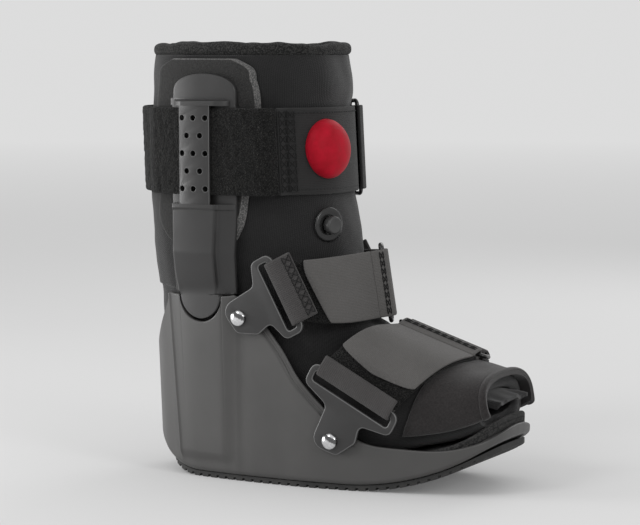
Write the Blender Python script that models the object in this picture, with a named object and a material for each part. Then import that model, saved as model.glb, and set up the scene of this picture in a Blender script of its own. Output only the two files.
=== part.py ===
"""Air walker boot: moulded shell on a ribbed sole, padded liner, two struts, three straps and an air bulb.

Metres, +Z up, toe at +X, outer side at -Y, origin on the tread under the middle of the foot.
"""

import math
from collections import namedtuple

import bmesh
import bpy
import numpy as np
from mathutils import Matrix

# Driving dimensions: sole and shell
SOLE_LENGTH = 0.2856
SOLE_WIDTH = 0.126
HEEL_SHARE = 0.448
TREAD_THICKNESS = 0.0040
LUG_DEPTH = 0.0020
LUG_PITCH = 0.0075
SHANK_LENGTH = 0.030
SHANK_WIDTH = 0.044
TOE_ROCKER_RADIUS = 0.190
TOE_ROCKER_START = 0.048
HEEL_ROCKER_RADIUS = 0.090
HEEL_ROCKER_START = -0.070
SHELL_WALL = 0.0030
SHELL_FLOOR = 0.0040
SOLE_CORNER = 0.0035
HEEL_CORNER = 0.0100
CUFF_HEIGHT = 0.134
FOREFOOT_HEIGHT = 0.0316
LIP_WIDTH = 0.0050
LIP_STEP = 0.0012
FOOTBED_THICKNESS = 0.0125
BED_CLEARANCE = 0.0010
BED_CORNER = 0.0015

# Driving dimensions: liner
BOOT_HEIGHT = 0.3125
LEG_DEPTH = 0.154
LEG_WIDTH = 0.120
LEG_SETBACK = 0.0755
LINER_WALL = 0.0090
INSTEP_HEIGHT = 0.125
COLLAR_HEIGHT = 0.0095
COLLAR_FLARE = 0.0014
FLAP_THICKNESS = 0.0035
UNDERFLAP_THICKNESS = 0.0025
BINDING_WIDTH = 0.0060
BINDING_THICKNESS = 0.0016

# Driving dimensions: struts and pads
STRUT_SETBACK = 0.0680
NOTCH_SETBACK = 0.0622
STRUT_TOP = BOOT_HEIGHT - 0.0215
STRUT_BACK_PLATE = 0.0028
STRUT_BODY = 0.0092
STRUT_TONGUE = 0.0024
TONGUE_DEPTH = 0.030
NOTCH_WIDTH = 0.0370
NOTCH_DEPTH = 0.0185
NOTCH_CLEARANCE = 0.0011
SLAT_WIDTH = 0.030
BRIDGE_WIDTH = 0.0245
SLAT_THICKNESS = 0.0024
SLAT_SHIFT = 0.0020
SLAT_HOLE = 0.0044
HOLE_SIDES = 8
HOLE_PITCH = 0.0125
HOLE_SHIFT = 0.0013
WINDOW_BELOW = 0.0065
WINDOW_ABOVE = 0.0015
LEDGE_HEIGHT = 0.0050
LEDGE_STEP = 0.0015
STRUT_STEP = 0.0020
PAD_TOP = BOOT_HEIGHT - 0.0110
PAD_BOTTOM = 0.1680
PAD_THICKNESS = 0.0050
PAD_CLEARANCE = 0.0012

# Driving dimensions: straps, plates, rings, valve and bulb
CALF_STRAP_WIDTH = 0.0615
CALF_STRAP_HEIGHT = BOOT_HEIGHT - 0.0762
CALF_STRAP_THICKNESS = 0.0035
ANKLE_STRAP_WIDTH = 0.0480
TOE_STRAP_WIDTH = 0.0620
STRAP_THICKNESS = 0.0020
TAB_THICKNESS = 0.0016
PLATE_THICKNESS = 0.0030
SLOT_WIDTH = 0.0080
SLOT_CORNER = 0.0022
PLATE_RIM = 0.0046
PLATE_REACH = 0.0350
RIVET_HEAD = 0.0120
RIVET_DOME = 0.0028
RIVET_SHANK = 0.0052
RING_WIRE = 0.0030
RING_GAP = 0.0100
RING_CORNER = 0.0032
RING_SIDES = 6
PLATE_FOLD = 0.0140
RING_FOLD = 0.0100
TAB_CLEARANCE = 0.0009
BULB_DIAMETER = 0.0420
BULB_DOME = 0.0105
BULB_RISE = 0.0015
VALVE_BASE = 0.0250
VALVE_BASE_HEIGHT = 0.0026
VALVE_BUTTON = 0.0130
VALVE_BUTTON_HEIGHT = 0.0062
VALVE_TRAVEL = 0.0015
VALVE_WELL = 0.0009
VALVE_HEIGHT = CALF_STRAP_HEIGHT - 0.0523
GAP = 0.0003
STRAP_CLEARANCE = 0.0006
RING_STAND = 0.0060
RING_BEFORE = 0.0080
REAR_STAND = 0.0030

# Places round the leg, from the outer side towards the front
BULB_TURN = math.radians(72)
VALVE_TURN = math.radians(67)
RING_TURN = math.radians(128)
CALF_SEAM = math.radians(34)
CALF_TAB_END = math.radians(165)

# Places that follow from them
HEEL_X = -HEEL_SHARE * SOLE_LENGTH
HALF_WIDTH = SOLE_WIDTH / 2
LEG_X = HEEL_X + LEG_SETBACK
STRUT_X = HEEL_X + STRUT_SETBACK
NOTCH_X = HEEL_X + NOTCH_SETBACK
FLOOR_RISE = TREAD_THICKNESS + GAP + SHELL_FLOOR
LEG_ROUND = 2.5

# Plan of the shell, a row for each station from heel to toe: high at the cuff, low at the sole.
# along is a share of SOLE_LENGTH, wide a share of HALF_WIDTH, and rim the share of the way
# from FOREFOOT_HEIGHT to CUFF_HEIGHT.
Plan = namedtuple("Plan", "high_along high_wide low_along low_wide rim")
PLAN = (
    Plan(0.000, 0.000, 0.016, 0.000, 0.512),
    Plan(0.006, 0.210, 0.022, 0.190, 0.531),
    Plan(0.025, 0.430, 0.042, 0.400, 0.609),
    Plan(0.065, 0.670, 0.080, 0.610, 0.760),
    Plan(0.100, 0.810, 0.120, 0.730, 0.905),
    Plan(0.119, 0.860, 0.143, 0.780, 0.990),
    Plan(0.140, 0.885, 0.162, 0.805, 0.990),
    Plan(0.170, 0.920, 0.185, 0.830, 0.983),
    Plan(0.200, 0.945, 0.210, 0.850, 0.985),
    Plan(0.236, 0.965, 0.243, 0.875, 0.986),
    Plan(0.270, 0.980, 0.275, 0.900, 0.990),
    Plan(0.300, 0.990, 0.300, 0.915, 0.995),
    Plan(0.317, 0.985, 0.317, 0.925, 1.000),
    Plan(0.335, 0.970, 0.335, 0.930, 0.965),
    Plan(0.365, 0.973, 0.365, 0.945, 0.885),
    Plan(0.410, 0.980, 0.410, 0.960, 0.766),
    Plan(0.450, 0.985, 0.450, 0.970, 0.624),
    Plan(0.485, 0.990, 0.485, 0.978, 0.473),
    Plan(0.522, 0.990, 0.522, 0.978, 0.360),
    Plan(0.560, 0.985, 0.560, 0.972, 0.258),
    Plan(0.600, 0.978, 0.600, 0.963, 0.148),
    Plan(0.640, 0.965, 0.640, 0.948, 0.062),
    Plan(0.690, 0.945, 0.690, 0.925, 0.016),
    Plan(0.765, 0.910, 0.762, 0.888, 0.003),
    Plan(0.840, 0.880, 0.835, 0.850, 0.000),
    Plan(0.900, 0.845, 0.892, 0.810, 0.018),
    Plan(0.945, 0.770, 0.934, 0.735, 0.049),
    Plan(0.972, 0.640, 0.962, 0.610, 0.079),
    Plan(0.990, 0.445, 0.980, 0.425, 0.112),
    Plan(0.998, 0.225, 0.988, 0.215, 0.140),
    Plan(1.000, 0.000, 0.990, 0.000, 0.150),
)

# Leg of the liner: up is a share of BOOT_HEIGHT, middle and deep shares of LEG_DEPTH,
# wide a share of LEG_WIDTH.
Leg = namedtuple("Leg", "up middle deep wide")
LEG = (
    Leg(0.440, 0.034, 1.000, 0.925),
    Leg(0.454, 0.031, 1.000, 0.933),
    Leg(0.528, 0.017, 1.000, 0.958),
    Leg(0.616, 0.000, 0.978, 0.990),
    Leg(0.658, -0.011, 0.958, 0.996),
    Leg(0.756, -0.017, 0.940, 1.000),
    Leg(0.854, -0.020, 0.927, 1.000),
    Leg(0.882, -0.011, 0.937, 1.000),
    Leg(0.945, -0.014, 0.924, 0.995),
    Leg(0.972, -0.015, 0.906, 0.975),
)

# Foot of the liner, sections that fan out from the leg to the toe. front_along and back_along are
# shares of SOLE_LENGTH, front_up a share of INSTEP_HEIGHT, back_over the share of INSTEP_HEIGHT
# that the back of the section lies over the footbed, wide a share of HALF_WIDTH, square the
# exponent of the section's lower half.
Foot = namedtuple("Foot", "front_along front_up back_along back_over wide square")
FOOT = (
    Foot(0.572, 0.992, 0.0180, 0.760, 0.865, 2.4),
    Foot(0.598, 0.918, 0.0235, 0.560, 0.858, 2.4),
    Foot(0.628, 0.868, 0.0270, 0.340, 0.842, 2.4),
    Foot(0.656, 0.836, 0.0440, 0.135, 0.818, 2.6),
    Foot(0.682, 0.810, 0.1050, 0.002, 0.800, 3.0),
    Foot(0.714, 0.780, 0.2700, 0.000, 0.835, 3.4),
    Foot(0.752, 0.748, 0.4650, 0.000, 0.850, 3.4),
    Foot(0.795, 0.716, 0.6580, 0.000, 0.820, 3.4),
    Foot(0.843, 0.680, 0.8000, 0.000, 0.765, 3.2),
    Foot(0.896, 0.650, 0.8960, 0.000, 0.710, 3.0),
    Foot(0.931, 0.636, 0.9450, 0.000, 0.668, 2.8),
    Foot(0.958, 0.632, 0.9750, 0.000, 0.635, 2.8),
)

# Thickness of the footbed over the shell floor, by share of SOLE_LENGTH.
Bed = namedtuple("Bed", "along thick")
BED = (Bed(0.0, 1.00), Bed(0.60, 1.00), Bed(0.80, 0.98), Bed(0.90, 0.80), Bed(0.95, 0.78), Bed(1.0, 0.95))

# Outline of the strut by height: up is a share of STRUT_TOP, the rest are shares of SLAT_WIDTH from
# the strut's middle line, and body and side are shares of STRUT_BODY.
Strut = namedtuple("Strut", "up rear panel_rear panel_front front body side")
STRUT = (
    Strut(0.455, -0.98, -0.81, 0.24, 0.76, 0.66, 0.45),
    Strut(0.515, -0.94, -0.80, 0.29, 0.80, 0.78, 0.50),
    Strut(0.571, -0.90, -0.76, 0.34, 0.84, 0.86, 0.55),
    Strut(0.620, -0.86, -0.73, 0.40, 0.88, 0.95, 0.60),
    Strut(0.670, -0.83, -0.70, 0.45, 0.91, 1.00, 0.62),
)

# Stations across the strut's thin plate and its ledge, as shares of SLAT_WIDTH, the width of the body's
# front bevel as such a share, and the exponent of the paddle's rounded end.
PADDLE = (-0.80, -0.5, 0.0, 0.5, 0.90)
LEDGE = (-0.88, -0.77, 0.0, 0.70, 0.90)
BEVEL_SHARE = 0.10
PADDLE_ROUND = 2.6

# Shield outline of the pad by height: up is the share from PAD_BOTTOM to PAD_TOP, rear and front are
# shares of LEG_DEPTH from the strut's middle line.
Pad = namedtuple("Pad", "up rear front")
PAD = (
    Pad(0.00, -0.120, 0.095),
    Pad(0.03, -0.185, 0.140),
    Pad(0.08, -0.225, 0.170),
    Pad(0.30, -0.245, 0.215),
    Pad(0.60, -0.255, 0.255),
    Pad(0.88, -0.245, 0.250),
    Pad(0.96, -0.225, 0.220),
    Pad(1.00, -0.160, 0.150),
)

COLOURS = {
    "shell": ((0.092, 0.090, 0.088), 0.42),
    "rubber": ((0.018, 0.018, 0.018), 0.75),
    "foam": ((0.030, 0.030, 0.031), 0.85),
    "liner": ((0.026, 0.026, 0.027), 0.90),
    "pile": ((0.022, 0.022, 0.022), 0.95),
    "webbing": ((0.060, 0.058, 0.056), 0.80),
    "gloss": ((0.012, 0.012, 0.012), 0.25),
    "bulb": ((0.55, 0.010, 0.030), 0.35),
    "chrome": ((0.85, 0.85, 0.86), 0.12),
}
METAL = {"chrome"}


def clear_scene():
    for item in list(bpy.data.objects):
        bpy.data.objects.remove(item, do_unlink=True)


def material(name):
    if name in bpy.data.materials:
        return bpy.data.materials[name]
    colour, roughness = COLOURS[name]
    made = bpy.data.materials.new(name)
    made.use_nodes = True
    shader = made.node_tree.nodes["Principled BSDF"]
    shader.inputs["Base Color"].default_value = (*colour, 1.0)
    shader.inputs["Roughness"].default_value = roughness
    shader.inputs["Metallic"].default_value = 1.0 if name in METAL else 0.0
    return made


# Curves through tables

def column(table, name):
    return np.array([getattr(row, name) for row in table], float)


def hermite(places, values, at):
    """Smooth curve through the values at their places, with slopes from the neighbours."""
    places = np.asarray(places, float)
    values = np.asarray(values, float)
    at = np.clip(np.asarray(at, float), places[0], places[-1])
    slopes = np.gradient(values, places)
    index = np.clip(np.searchsorted(places, at, side="right") - 1, 0, len(places) - 2)
    step = places[index + 1] - places[index]
    t = (at - places[index]) / step
    return (
        values[index] * (1 + 2 * t) * (1 - t) ** 2
        + slopes[index] * step * t * (1 - t) ** 2
        + values[index + 1] * t * t * (3 - 2 * t)
        + slopes[index + 1] * step * t * t * (t - 1)
    )


def smoothstep(low, high, at):
    t = np.clip((np.asarray(at, float) - low) / (high - low), 0, 1)
    return t * t * (3 - 2 * t)


def offset_curve(x, z, distance):
    """The curve moved to its left by a distance, seen along its direction in the XZ plane."""
    along_x, along_z = np.gradient(x), np.gradient(z)
    length = np.hypot(along_x, along_z)
    return x - distance * along_z / length, z + distance * along_x / length


# Meshes

def add_mesh(name, points, faces, finish, smooth=True):
    mesh = bpy.data.meshes.new(name)
    mesh.from_pydata(np.asarray(points).reshape(-1, 3).tolist(), [], faces)
    shape = bmesh.new()
    shape.from_mesh(mesh)
    bmesh.ops.remove_doubles(shape, verts=shape.verts, dist=1e-6)
    bmesh.ops.recalc_face_normals(shape, faces=shape.faces)
    shape.to_mesh(mesh)
    shape.free()
    mesh.materials.append(material(finish))
    if smooth:
        mesh.shade_smooth()
        mesh.set_sharp_from_angle(angle=math.radians(38))
    item = bpy.data.objects.new(name, mesh)
    bpy.context.scene.collection.objects.link(item)
    return item


def ring_faces(rings, count, closed=False):
    """Quads between neighbouring rings of as many points each."""
    faces = []
    for k in range(rings if closed else rings - 1):
        low, high = k * count, ((k + 1) % rings) * count
        for i in range(count):
            j = (i + 1) % count
            faces.append((low + i, low + j, high + j, high + i))
    return faces


def strip_cap(start, count):
    """Closes a ring that mirrors itself, with strips from side to side."""
    faces = [(start, start + 1, start + count - 1)]
    half = count // 2
    for i in range(1, half - 1):
        faces.append((start + i, start + i + 1, start + count - i - 1, start + count - i))
    faces.append((start + half - 1, start + half, start + half + 1))
    return faces


def add_loft(name, rings, finish, closed=False, caps=True, smooth=True):
    """A skin over a row of rings, closed at both ends or into itself."""
    rings = np.asarray(rings)
    number, count = rings.shape[:2]
    faces = ring_faces(number, count, closed)
    if caps and not closed:
        faces.append(tuple(range(count)))
        faces.append(tuple(range((number - 1) * count, number * count)))
    return add_mesh(name, rings, faces, finish, smooth)


def add_sheet(name, outer, inner, finish):
    """A wall between two grids of the same size."""
    rows, columns = outer.shape[:2]
    size = rows * columns
    faces = []
    for i in range(rows - 1):
        for j in range(columns - 1):
            a, b = i * columns + j, i * columns + j + 1
            c, d = b + columns, a + columns
            faces += [(a, b, c, d), (a + size, d + size, c + size, b + size)]
    edge = [j for j in range(columns)]
    edge += [i * columns + columns - 1 for i in range(1, rows)]
    edge += [(rows - 1) * columns + j for j in range(columns - 2, -1, -1)]
    edge += [i * columns for i in range(rows - 2, 0, -1)]
    for a, b in zip(edge, edge[1:] + edge[:1]):
        faces.append((a, a + size, b + size, b))
    return add_mesh(name, np.concatenate([outer.reshape(-1, 3), inner.reshape(-1, 3)]), faces, finish)


def add_boolean(item, other, operation):
    """Joins or cuts with another object, which then goes."""
    modifier = item.modifiers.new(operation.lower(), "BOOLEAN")
    modifier.operation = operation
    modifier.solver = "EXACT"
    modifier.object = other
    depsgraph = bpy.context.evaluated_depsgraph_get()
    mesh = bpy.data.meshes.new_from_object(item.evaluated_get(depsgraph))
    item.modifiers.clear()
    item.data = mesh
    bpy.data.objects.remove(other, do_unlink=True)


# Sole and shell

def sole_height(x):
    """Height of the tread's underside: flat, then an arc up to the toe and one up to the heel."""
    toe = np.clip(np.asarray(x, float) - TOE_ROCKER_START, 0, 0.95 * TOE_ROCKER_RADIUS)
    heel = np.clip(HEEL_ROCKER_START - np.asarray(x, float), 0, 0.95 * HEEL_ROCKER_RADIUS)
    toe_rise = TOE_ROCKER_RADIUS - np.sqrt(TOE_ROCKER_RADIUS**2 - toe**2)
    return toe_rise + HEEL_ROCKER_RADIUS - np.sqrt(HEEL_ROCKER_RADIUS**2 - heel**2)


def plan_row(name, at):
    """A column of the plan at fractional rows."""
    return hermite(np.arange(len(PLAN)), column(PLAN, name), at)


def both_sides(x, y, z):
    """One ring from the lateral half of an outline: heel, outer side, toe, inner side."""
    x, y, z = (np.asarray(v, float) for v in np.broadcast_arrays(x, y, z))
    lateral = np.stack([x, -y, z], axis=-1)
    medial = np.stack([x, y, z], axis=-1)[1:-1][::-1]
    return np.concatenate([lateral, medial])


def inset(x, y, distance):
    """The half outline moved inwards by a distance."""
    full_x = np.concatenate([[x[1]], x, [x[-2]]])
    full_y = np.concatenate([[-y[1]], y, [-y[-2]]])
    along_x, along_y = np.gradient(full_x)[1:-1], np.gradient(full_y)[1:-1]
    length = np.hypot(along_x, along_y)
    inner_y = y - distance * along_x / length
    inner_y[[0, -1]] = 0
    return x + distance * along_y / length, inner_y


def wall_plan(rows, height):
    """Half outline of the shell's outer wall at a height."""
    share = np.clip(height / CUFF_HEIGHT, 0, 1.1)
    along = plan_row("low_along", rows) * (1 - share) + plan_row("high_along", rows) * share
    wide = plan_row("low_wide", rows) * (1 - share) + plan_row("high_wide", rows) * share
    return HEEL_X + along * SOLE_LENGTH, wide * HALF_WIDTH


def wall_side(x, height):
    """Half width of the shell's outer wall at a place along the foot and a height."""
    rows = np.linspace(0, len(PLAN) - 1, 241)
    x, height = (np.asarray(v, float) for v in np.broadcast_arrays(x, height))
    low_x, low_y = wall_plan(rows, 0.0)
    high_x, high_y = wall_plan(rows, CUFF_HEIGHT)
    share = height / CUFF_HEIGHT
    return np.interp(x, low_x, low_y) * (1 - share) + np.interp(x, high_x, high_y) * share


def notch(x):
    """How far the rim dips for the strut's rounded foot."""
    share = np.clip(np.abs(x - NOTCH_X) / (NOTCH_WIDTH / 2), 0, 1)
    return NOTCH_DEPTH * np.sqrt(1 - share**2)


def rim_height(rows, dip=True):
    x = wall_plan(rows, CUFF_HEIGHT)[0]
    rim = FOREFOOT_HEIGHT + plan_row("rim", rows) * (CUFF_HEIGHT - FOREFOOT_HEIGHT)
    return rim - notch(x) if dip else rim


def corner_radius(rows):
    """Round of the lower edge, larger at the heel."""
    along = plan_row("high_along", rows)
    heel = 1 - smoothstep(0.02, 0.16, along)
    return SOLE_CORNER + (HEEL_CORNER - SOLE_CORNER) * heel


# Stations across the notch, as shares of its half width, and the least distance between rows
NOTCH_STATIONS = (-1.0, -0.93, -0.75, -0.4, 0.0, 0.4, 0.75, 0.93, 1.0)
ROW_CLEARANCE = 0.2


def shell_rows():
    """Stations round half the shell: those of the notch, and the plan's rows that keep clear of them."""
    plan = np.arange(len(PLAN), dtype=float)
    along = wall_plan(plan, CUFF_HEIGHT)[0]
    reach = NOTCH_WIDTH / 2 * np.array(NOTCH_STATIONS)
    edge = np.interp(NOTCH_X + reach, along, plan)
    clear = np.abs(plan[:, None] - edge[None, :]).min(axis=1) > ROW_CLEARANCE
    return np.sort(np.concatenate([plan[clear], edge]))


def lip_share(rows):
    """Where the recessed front lip runs: 1 along the sloping front edge, 0 elsewhere."""
    along = plan_row("high_along", rows)
    return smoothstep(0.33, 0.38, along) * (1 - smoothstep(0.60, 0.66, along))


def add_shell():
    rows = shell_rows()
    rim = rim_height(rows)
    corner = corner_radius(rows)
    rings = []
    bottom_x = wall_plan(rows, FOREFOOT_HEIGHT)[0]
    bottom = sole_height(bottom_x) + TREAD_THICKNESS + GAP
    for turn in (0.0, 0.5, 1.0):
        height = bottom + corner * (1 - math.cos(turn * math.pi / 2))
        x, y = wall_plan(rows, height)
        x, y = inset(x, y, corner * (1 - math.sin(turn * math.pi / 2)))
        rings.append(both_sides(x, y, height))
    low = bottom + corner
    slope = np.abs(np.gradient(rim, wall_plan(rows, CUFF_HEIGHT)[0] + 1e-4 * rows))
    lip = np.minimum(LIP_WIDTH * np.sqrt(1 + np.minimum(slope, 2.0) ** 2), 0.4 * (rim - low))
    for share in (0.25, 0.5, 0.78, 1.0):
        height = low + (rim - lip - low) * share
        rings.append(both_sides(*wall_plan(rows, height), height))
    step = LIP_STEP * lip_share(rows)
    for drop in (0.85, 0.0):
        height = rim - lip * drop
        rings.append(both_sides(*inset(*wall_plan(rows, height), step), height))
    floor = bottom + SHELL_FLOOR
    inner_low = floor + corner
    for share in (1.0, 0.5, 0.0):
        height = inner_low + (rim - inner_low) * share
        rings.append(both_sides(*inset(*wall_plan(rows, height), SHELL_WALL), height))
    x, y = inset(*wall_plan(rows, floor), SHELL_WALL + corner)
    rings.append(both_sides(x, y, sole_height(x) + FLOOR_RISE))
    rings = np.array(rings)
    number, count = rings.shape[:2]
    faces = ring_faces(number, count)
    faces += strip_cap(0, count) + strip_cap((number - 1) * count, count)
    return add_mesh("shell", rings, faces, "shell")


def sole_outline(x):
    """Half width of the tread at a place along the foot."""
    rows = np.linspace(0, len(PLAN) - 1, 241)
    plan_x, plan_y = inset(*wall_plan(rows, 0.0), corner_radius(rows) * 0.8)
    return plan_x, plan_y, np.interp(x, plan_x, plan_y)


def add_outsole():
    """Ribbed tread: a slab under the shell whose grooves run across, apart from a plain shank."""
    plan_x = sole_outline(0.0)[0]
    start, end = plan_x.min() + 0.0015, plan_x.max() - 0.0015
    edges = np.arange(0.0, end, LUG_PITCH)
    edges = np.concatenate([-edges[1:][::-1], edges])
    edges = edges[(edges > start + LUG_PITCH) & (edges < end - LUG_PITCH)]
    land = LUG_PITCH * 0.31
    stations = [(start, 0.0), (start + 0.003, 0.0)]
    for middle in edges:
        stations += [(middle - land, 0.0), (middle + land, 0.0)]
        stations += [(middle + land + 0.0004, 1.0), (middle + LUG_PITCH - land - 0.0004, 1.0)]
    stations = [s for s in stations if s[0] < end - 0.004]
    stations += [(end - 0.003, 0.0), (end, 0.0)]
    x = np.array([s[0] for s in stations])
    cut = LUG_DEPTH * np.array([s[1] for s in stations])
    half = sole_outline(x)[2]
    low = sole_height(x)
    inner = np.minimum(SHANK_WIDTH / 2, half * 0.6)
    in_shank = np.abs(x) < SHANK_LENGTH / 2
    centre_cut = np.where(in_shank, 0.0, cut)
    top = low + TREAD_THICKNESS
    rings = np.stack([
        np.stack([x, -half, top], axis=-1),
        np.stack([x, -half, low + cut], axis=-1),
        np.stack([x, -inner, low + centre_cut], axis=-1),
        np.stack([x, inner, low + centre_cut], axis=-1),
        np.stack([x, half, low + cut], axis=-1),
        np.stack([x, half, top], axis=-1),
    ], axis=1)
    return add_loft("outsole", rings, "rubber", smooth=False)


def bed_top(x):
    """Height of the footbed's upper face."""
    along = (np.asarray(x, float) - HEEL_X) / SOLE_LENGTH
    thick = hermite(column(BED, "along"), column(BED, "thick"), along) * FOOTBED_THICKNESS
    return sole_height(x) + FLOOR_RISE + BED_CLEARANCE + thick


def add_footbed():
    rows = np.arange(len(PLAN), dtype=float)
    corner = corner_radius(rows)
    base_x = wall_plan(rows, FOREFOOT_HEIGHT)[0]
    floor = sole_height(base_x) + FLOOR_RISE + BED_CLEARANCE
    clear = SHELL_WALL + 3 * GAP
    rings = []
    x, y = inset(*wall_plan(rows, floor), clear + corner)
    rings.append(both_sides(x, y, sole_height(x) + FLOOR_RISE + BED_CLEARANCE))
    height = floor + corner
    rings.append(both_sides(*inset(*wall_plan(rows, height), clear), height))
    top = bed_top(base_x)
    x, y = inset(*wall_plan(rows, top), clear)
    rings.append(both_sides(x, y, bed_top(x) - BED_CORNER))
    x, y = inset(*wall_plan(rows, top), clear + BED_CORNER)
    rings.append(both_sides(x, y, bed_top(x)))
    rings = np.array(rings)
    number, count = rings.shape[:2]
    faces = ring_faces(number, count)
    faces += strip_cap(0, count) + strip_cap((number - 1) * count, count)
    return add_mesh("footbed", rings, faces, "foam")


# Liner

def leg_size(z):
    """Middle, half depth and half width of the leg at a height."""
    up = column(LEG, "up") * BOOT_HEIGHT
    middle = LEG_X + hermite(up, column(LEG, "middle"), z) * LEG_DEPTH
    deep = hermite(up, column(LEG, "deep"), z) * LEG_DEPTH / 2
    return middle, deep, hermite(up, column(LEG, "wide"), z) * LEG_WIDTH / 2


def power(value, exponent):
    return np.sign(value) * np.abs(value) ** exponent


def leg_point(turn, z, out):
    """Point on the leg: turn is 0 at the outer side, a quarter at the front; out is off its surface."""
    turn, z, out = (np.asarray(v, float) for v in np.broadcast_arrays(turn, z, out))
    middle, deep, wide = leg_size(z)
    x = middle + (deep + out) * power(np.sin(turn), 2 / LEG_ROUND)
    y = -(wide + out) * power(np.cos(turn), 2 / LEG_ROUND)
    return np.stack([x, y, z], axis=-1)


def leg_turn(x, z):
    """The turn at which the leg's outer side has a given x."""
    middle, deep, _ = leg_size(z)
    share = np.clip((x - middle) / deep, -0.98, 0.98)
    return np.arcsin(power(share, LEG_ROUND / 2))


def leg_side(x, z):
    """Half width of the leg at a place along the foot and a height."""
    middle, deep, wide = leg_size(z)
    share = np.clip(np.abs(x - middle) / deep, 0, 0.98)
    return wide * (1 - share**LEG_ROUND) ** (1 / LEG_ROUND)


def foot_sections(out):
    """Front and back points, half width and lower exponent of the fanned sections, off the surface."""
    start = LEG[0].up * BOOT_HEIGHT
    middle, deep, wide = leg_size(start)
    front_x = np.concatenate([[middle + deep], HEEL_X + column(FOOT, "front_along") * SOLE_LENGTH])
    front_z = np.concatenate([[start], column(FOOT, "front_up") * INSTEP_HEIGHT])
    back_x = np.concatenate([[middle - deep], HEEL_X + column(FOOT, "back_along") * SOLE_LENGTH])
    back_z = bed_top(back_x) + GAP + np.concatenate([[0], column(FOOT, "back_over") * INSTEP_HEIGHT])
    back_z[0] = start
    half = np.concatenate([[wide], column(FOOT, "wide") * HALF_WIDTH])
    square = np.concatenate([[LEG_ROUND], column(FOOT, "square")])
    front_x, front_z = offset_curve(front_x, front_z, out)
    back_x, back_z = offset_curve(back_x, back_z, -out)
    return front_x, front_z, back_x, back_z, half + out, square


def foot_point(row, turn, out):
    """Point on the foot of the liner at a fractional section."""
    row, turn = (np.asarray(v, float) for v in np.broadcast_arrays(row, turn))
    places = np.arange(len(FOOT) + 1)
    front_x, front_z, back_x, back_z, half, square = (
        hermite(places, values, row) for values in foot_sections(out)
    )
    back_z = np.maximum(back_z, bed_top(back_x) + BED_CLEARANCE + max(-out, 0.0))
    exponent = 2 / np.where(np.sin(turn) >= 0, LEG_ROUND, square)
    reach = power(np.sin(turn), exponent)
    side = -half * power(np.cos(turn), exponent)
    x = (front_x + back_x) / 2 + reach * (front_x - back_x) / 2
    z = (front_z + back_z) / 2 + reach * (front_z - back_z) / 2
    return np.stack([x, side, z], axis=-1)


def turns(count):
    return np.arange(count) * 2 * math.pi / count - math.pi / 2


LINER_TOE_ROW = len(FOOT) - 1.0
LINER_SIDES = 32


def add_liner():
    around = turns(LINER_SIDES)
    bends = column(LEG, "up")[[0, 2, 4, 5, 6, 7, 8]] * BOOT_HEIGHT
    heights = np.append(bends, BOOT_HEIGHT - COLLAR_HEIGHT)[::-1]
    rows = np.concatenate([[0.7, 1.4, 2.2, 3.0, 4.0], np.arange(5.0, LINER_TOE_ROW + 0.1)])
    outer = [leg_point(around, z, 0.0) for z in heights] + [foot_point(row, around, 0.0) for row in rows]
    inner = [leg_point(around, z, -LINER_WALL) for z in heights[[0, 3, 5, 7]]]
    inner += [foot_point(row, around, -LINER_WALL) for row in rows if row not in (1.4, 3.0, 6.0, 8.0)]
    return add_loft("liner", np.array(outer[::-1] + inner), "liner", closed=True)


def add_collar():
    """Rolled top edge: a ring of eight-sided section on the liner's top."""
    around = turns(LINER_SIDES)
    low = BOOT_HEIGHT - COLLAR_HEIGHT + GAP
    profile = (
        (-0.94 * LINER_WALL, 0.0),
        (0.2 * COLLAR_FLARE, 0.0),
        (COLLAR_FLARE, 0.10),
        (1.2 * COLLAR_FLARE, 0.45),
        (0.9 * COLLAR_FLARE, 0.80),
        (0.0, 1.00),
        (-0.8 * LINER_WALL, 0.97),
        (-1.05 * LINER_WALL, 0.55),
    )
    rings = []
    for out, share in profile:
        z = low + share * (BOOT_HEIGHT - low)
        ring = leg_point(around, low - GAP, out)
        ring[:, 2] = z
        rings.append(ring)
    return add_loft("liner_collar", rings, "liner", closed=True)


def flap_grid(turn_low, rows, out, columns):
    """Grid over the toes: from the outer sole edge over the top to the inner one."""
    around = np.linspace(turn_low, math.pi - turn_low, columns)
    return np.array([foot_point(row, around, out) for row in rows])


def add_toe_pieces():
    """Cloth over the toes, its bound front edge, and the cloth end inside it, on the liner's facets."""
    facet = 2 * math.pi / LINER_SIDES
    low, columns = -2 * facet, LINER_SIDES // 2 + 5
    end = len(FOOT) - 0.04
    rows = np.array([8.5, 9.0, 10.0, 11.0, end - 0.18, end])
    under, over = 2 * GAP, 2 * GAP + FLAP_THICKNESS
    outer, inner = (flap_grid(low, rows, out, columns) for out in (over, under))
    add_sheet("toe_flap", outer, inner, "liner")
    above = over + 2 * GAP
    top = above + BINDING_THICKNESS
    edge = rows[-2:]
    outer, inner = (flap_grid(low, edge, out, columns) for out in (top, above))
    add_sheet("toe_flap_binding", outer, inner, "webbing")
    low, columns = 2 * facet, LINER_SIDES // 2 - 3
    rows = np.array([9.6, 10.3, 11.0, 11.6, 12.0])
    inside = -LINER_WALL - 2 * GAP
    outer = flap_grid(low, rows, inside, columns)
    inner = flap_grid(low, rows, inside - UNDERFLAP_THICKNESS, columns)
    for grid in (outer, inner):
        grid[-1, :, 0] += 0.006
        grid[-1, :, 2] -= 0.002
    add_sheet("toe_underflap", outer, inner, "liner")


# Struts and pads

def strut_inner(x, z):
    """Off the leg, how far the strut's inner face lies: over the pad at the top, on the liner below."""
    over_pad = np.clip((z - CUFF_HEIGHT) / (PAD_BOTTOM - 2 * STRUT_STEP - CUFF_HEIGHT), 0, 1)
    return leg_side(x, z) + 2 * GAP + over_pad * (PAD_THICKNESS + PAD_CLEARANCE)


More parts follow.
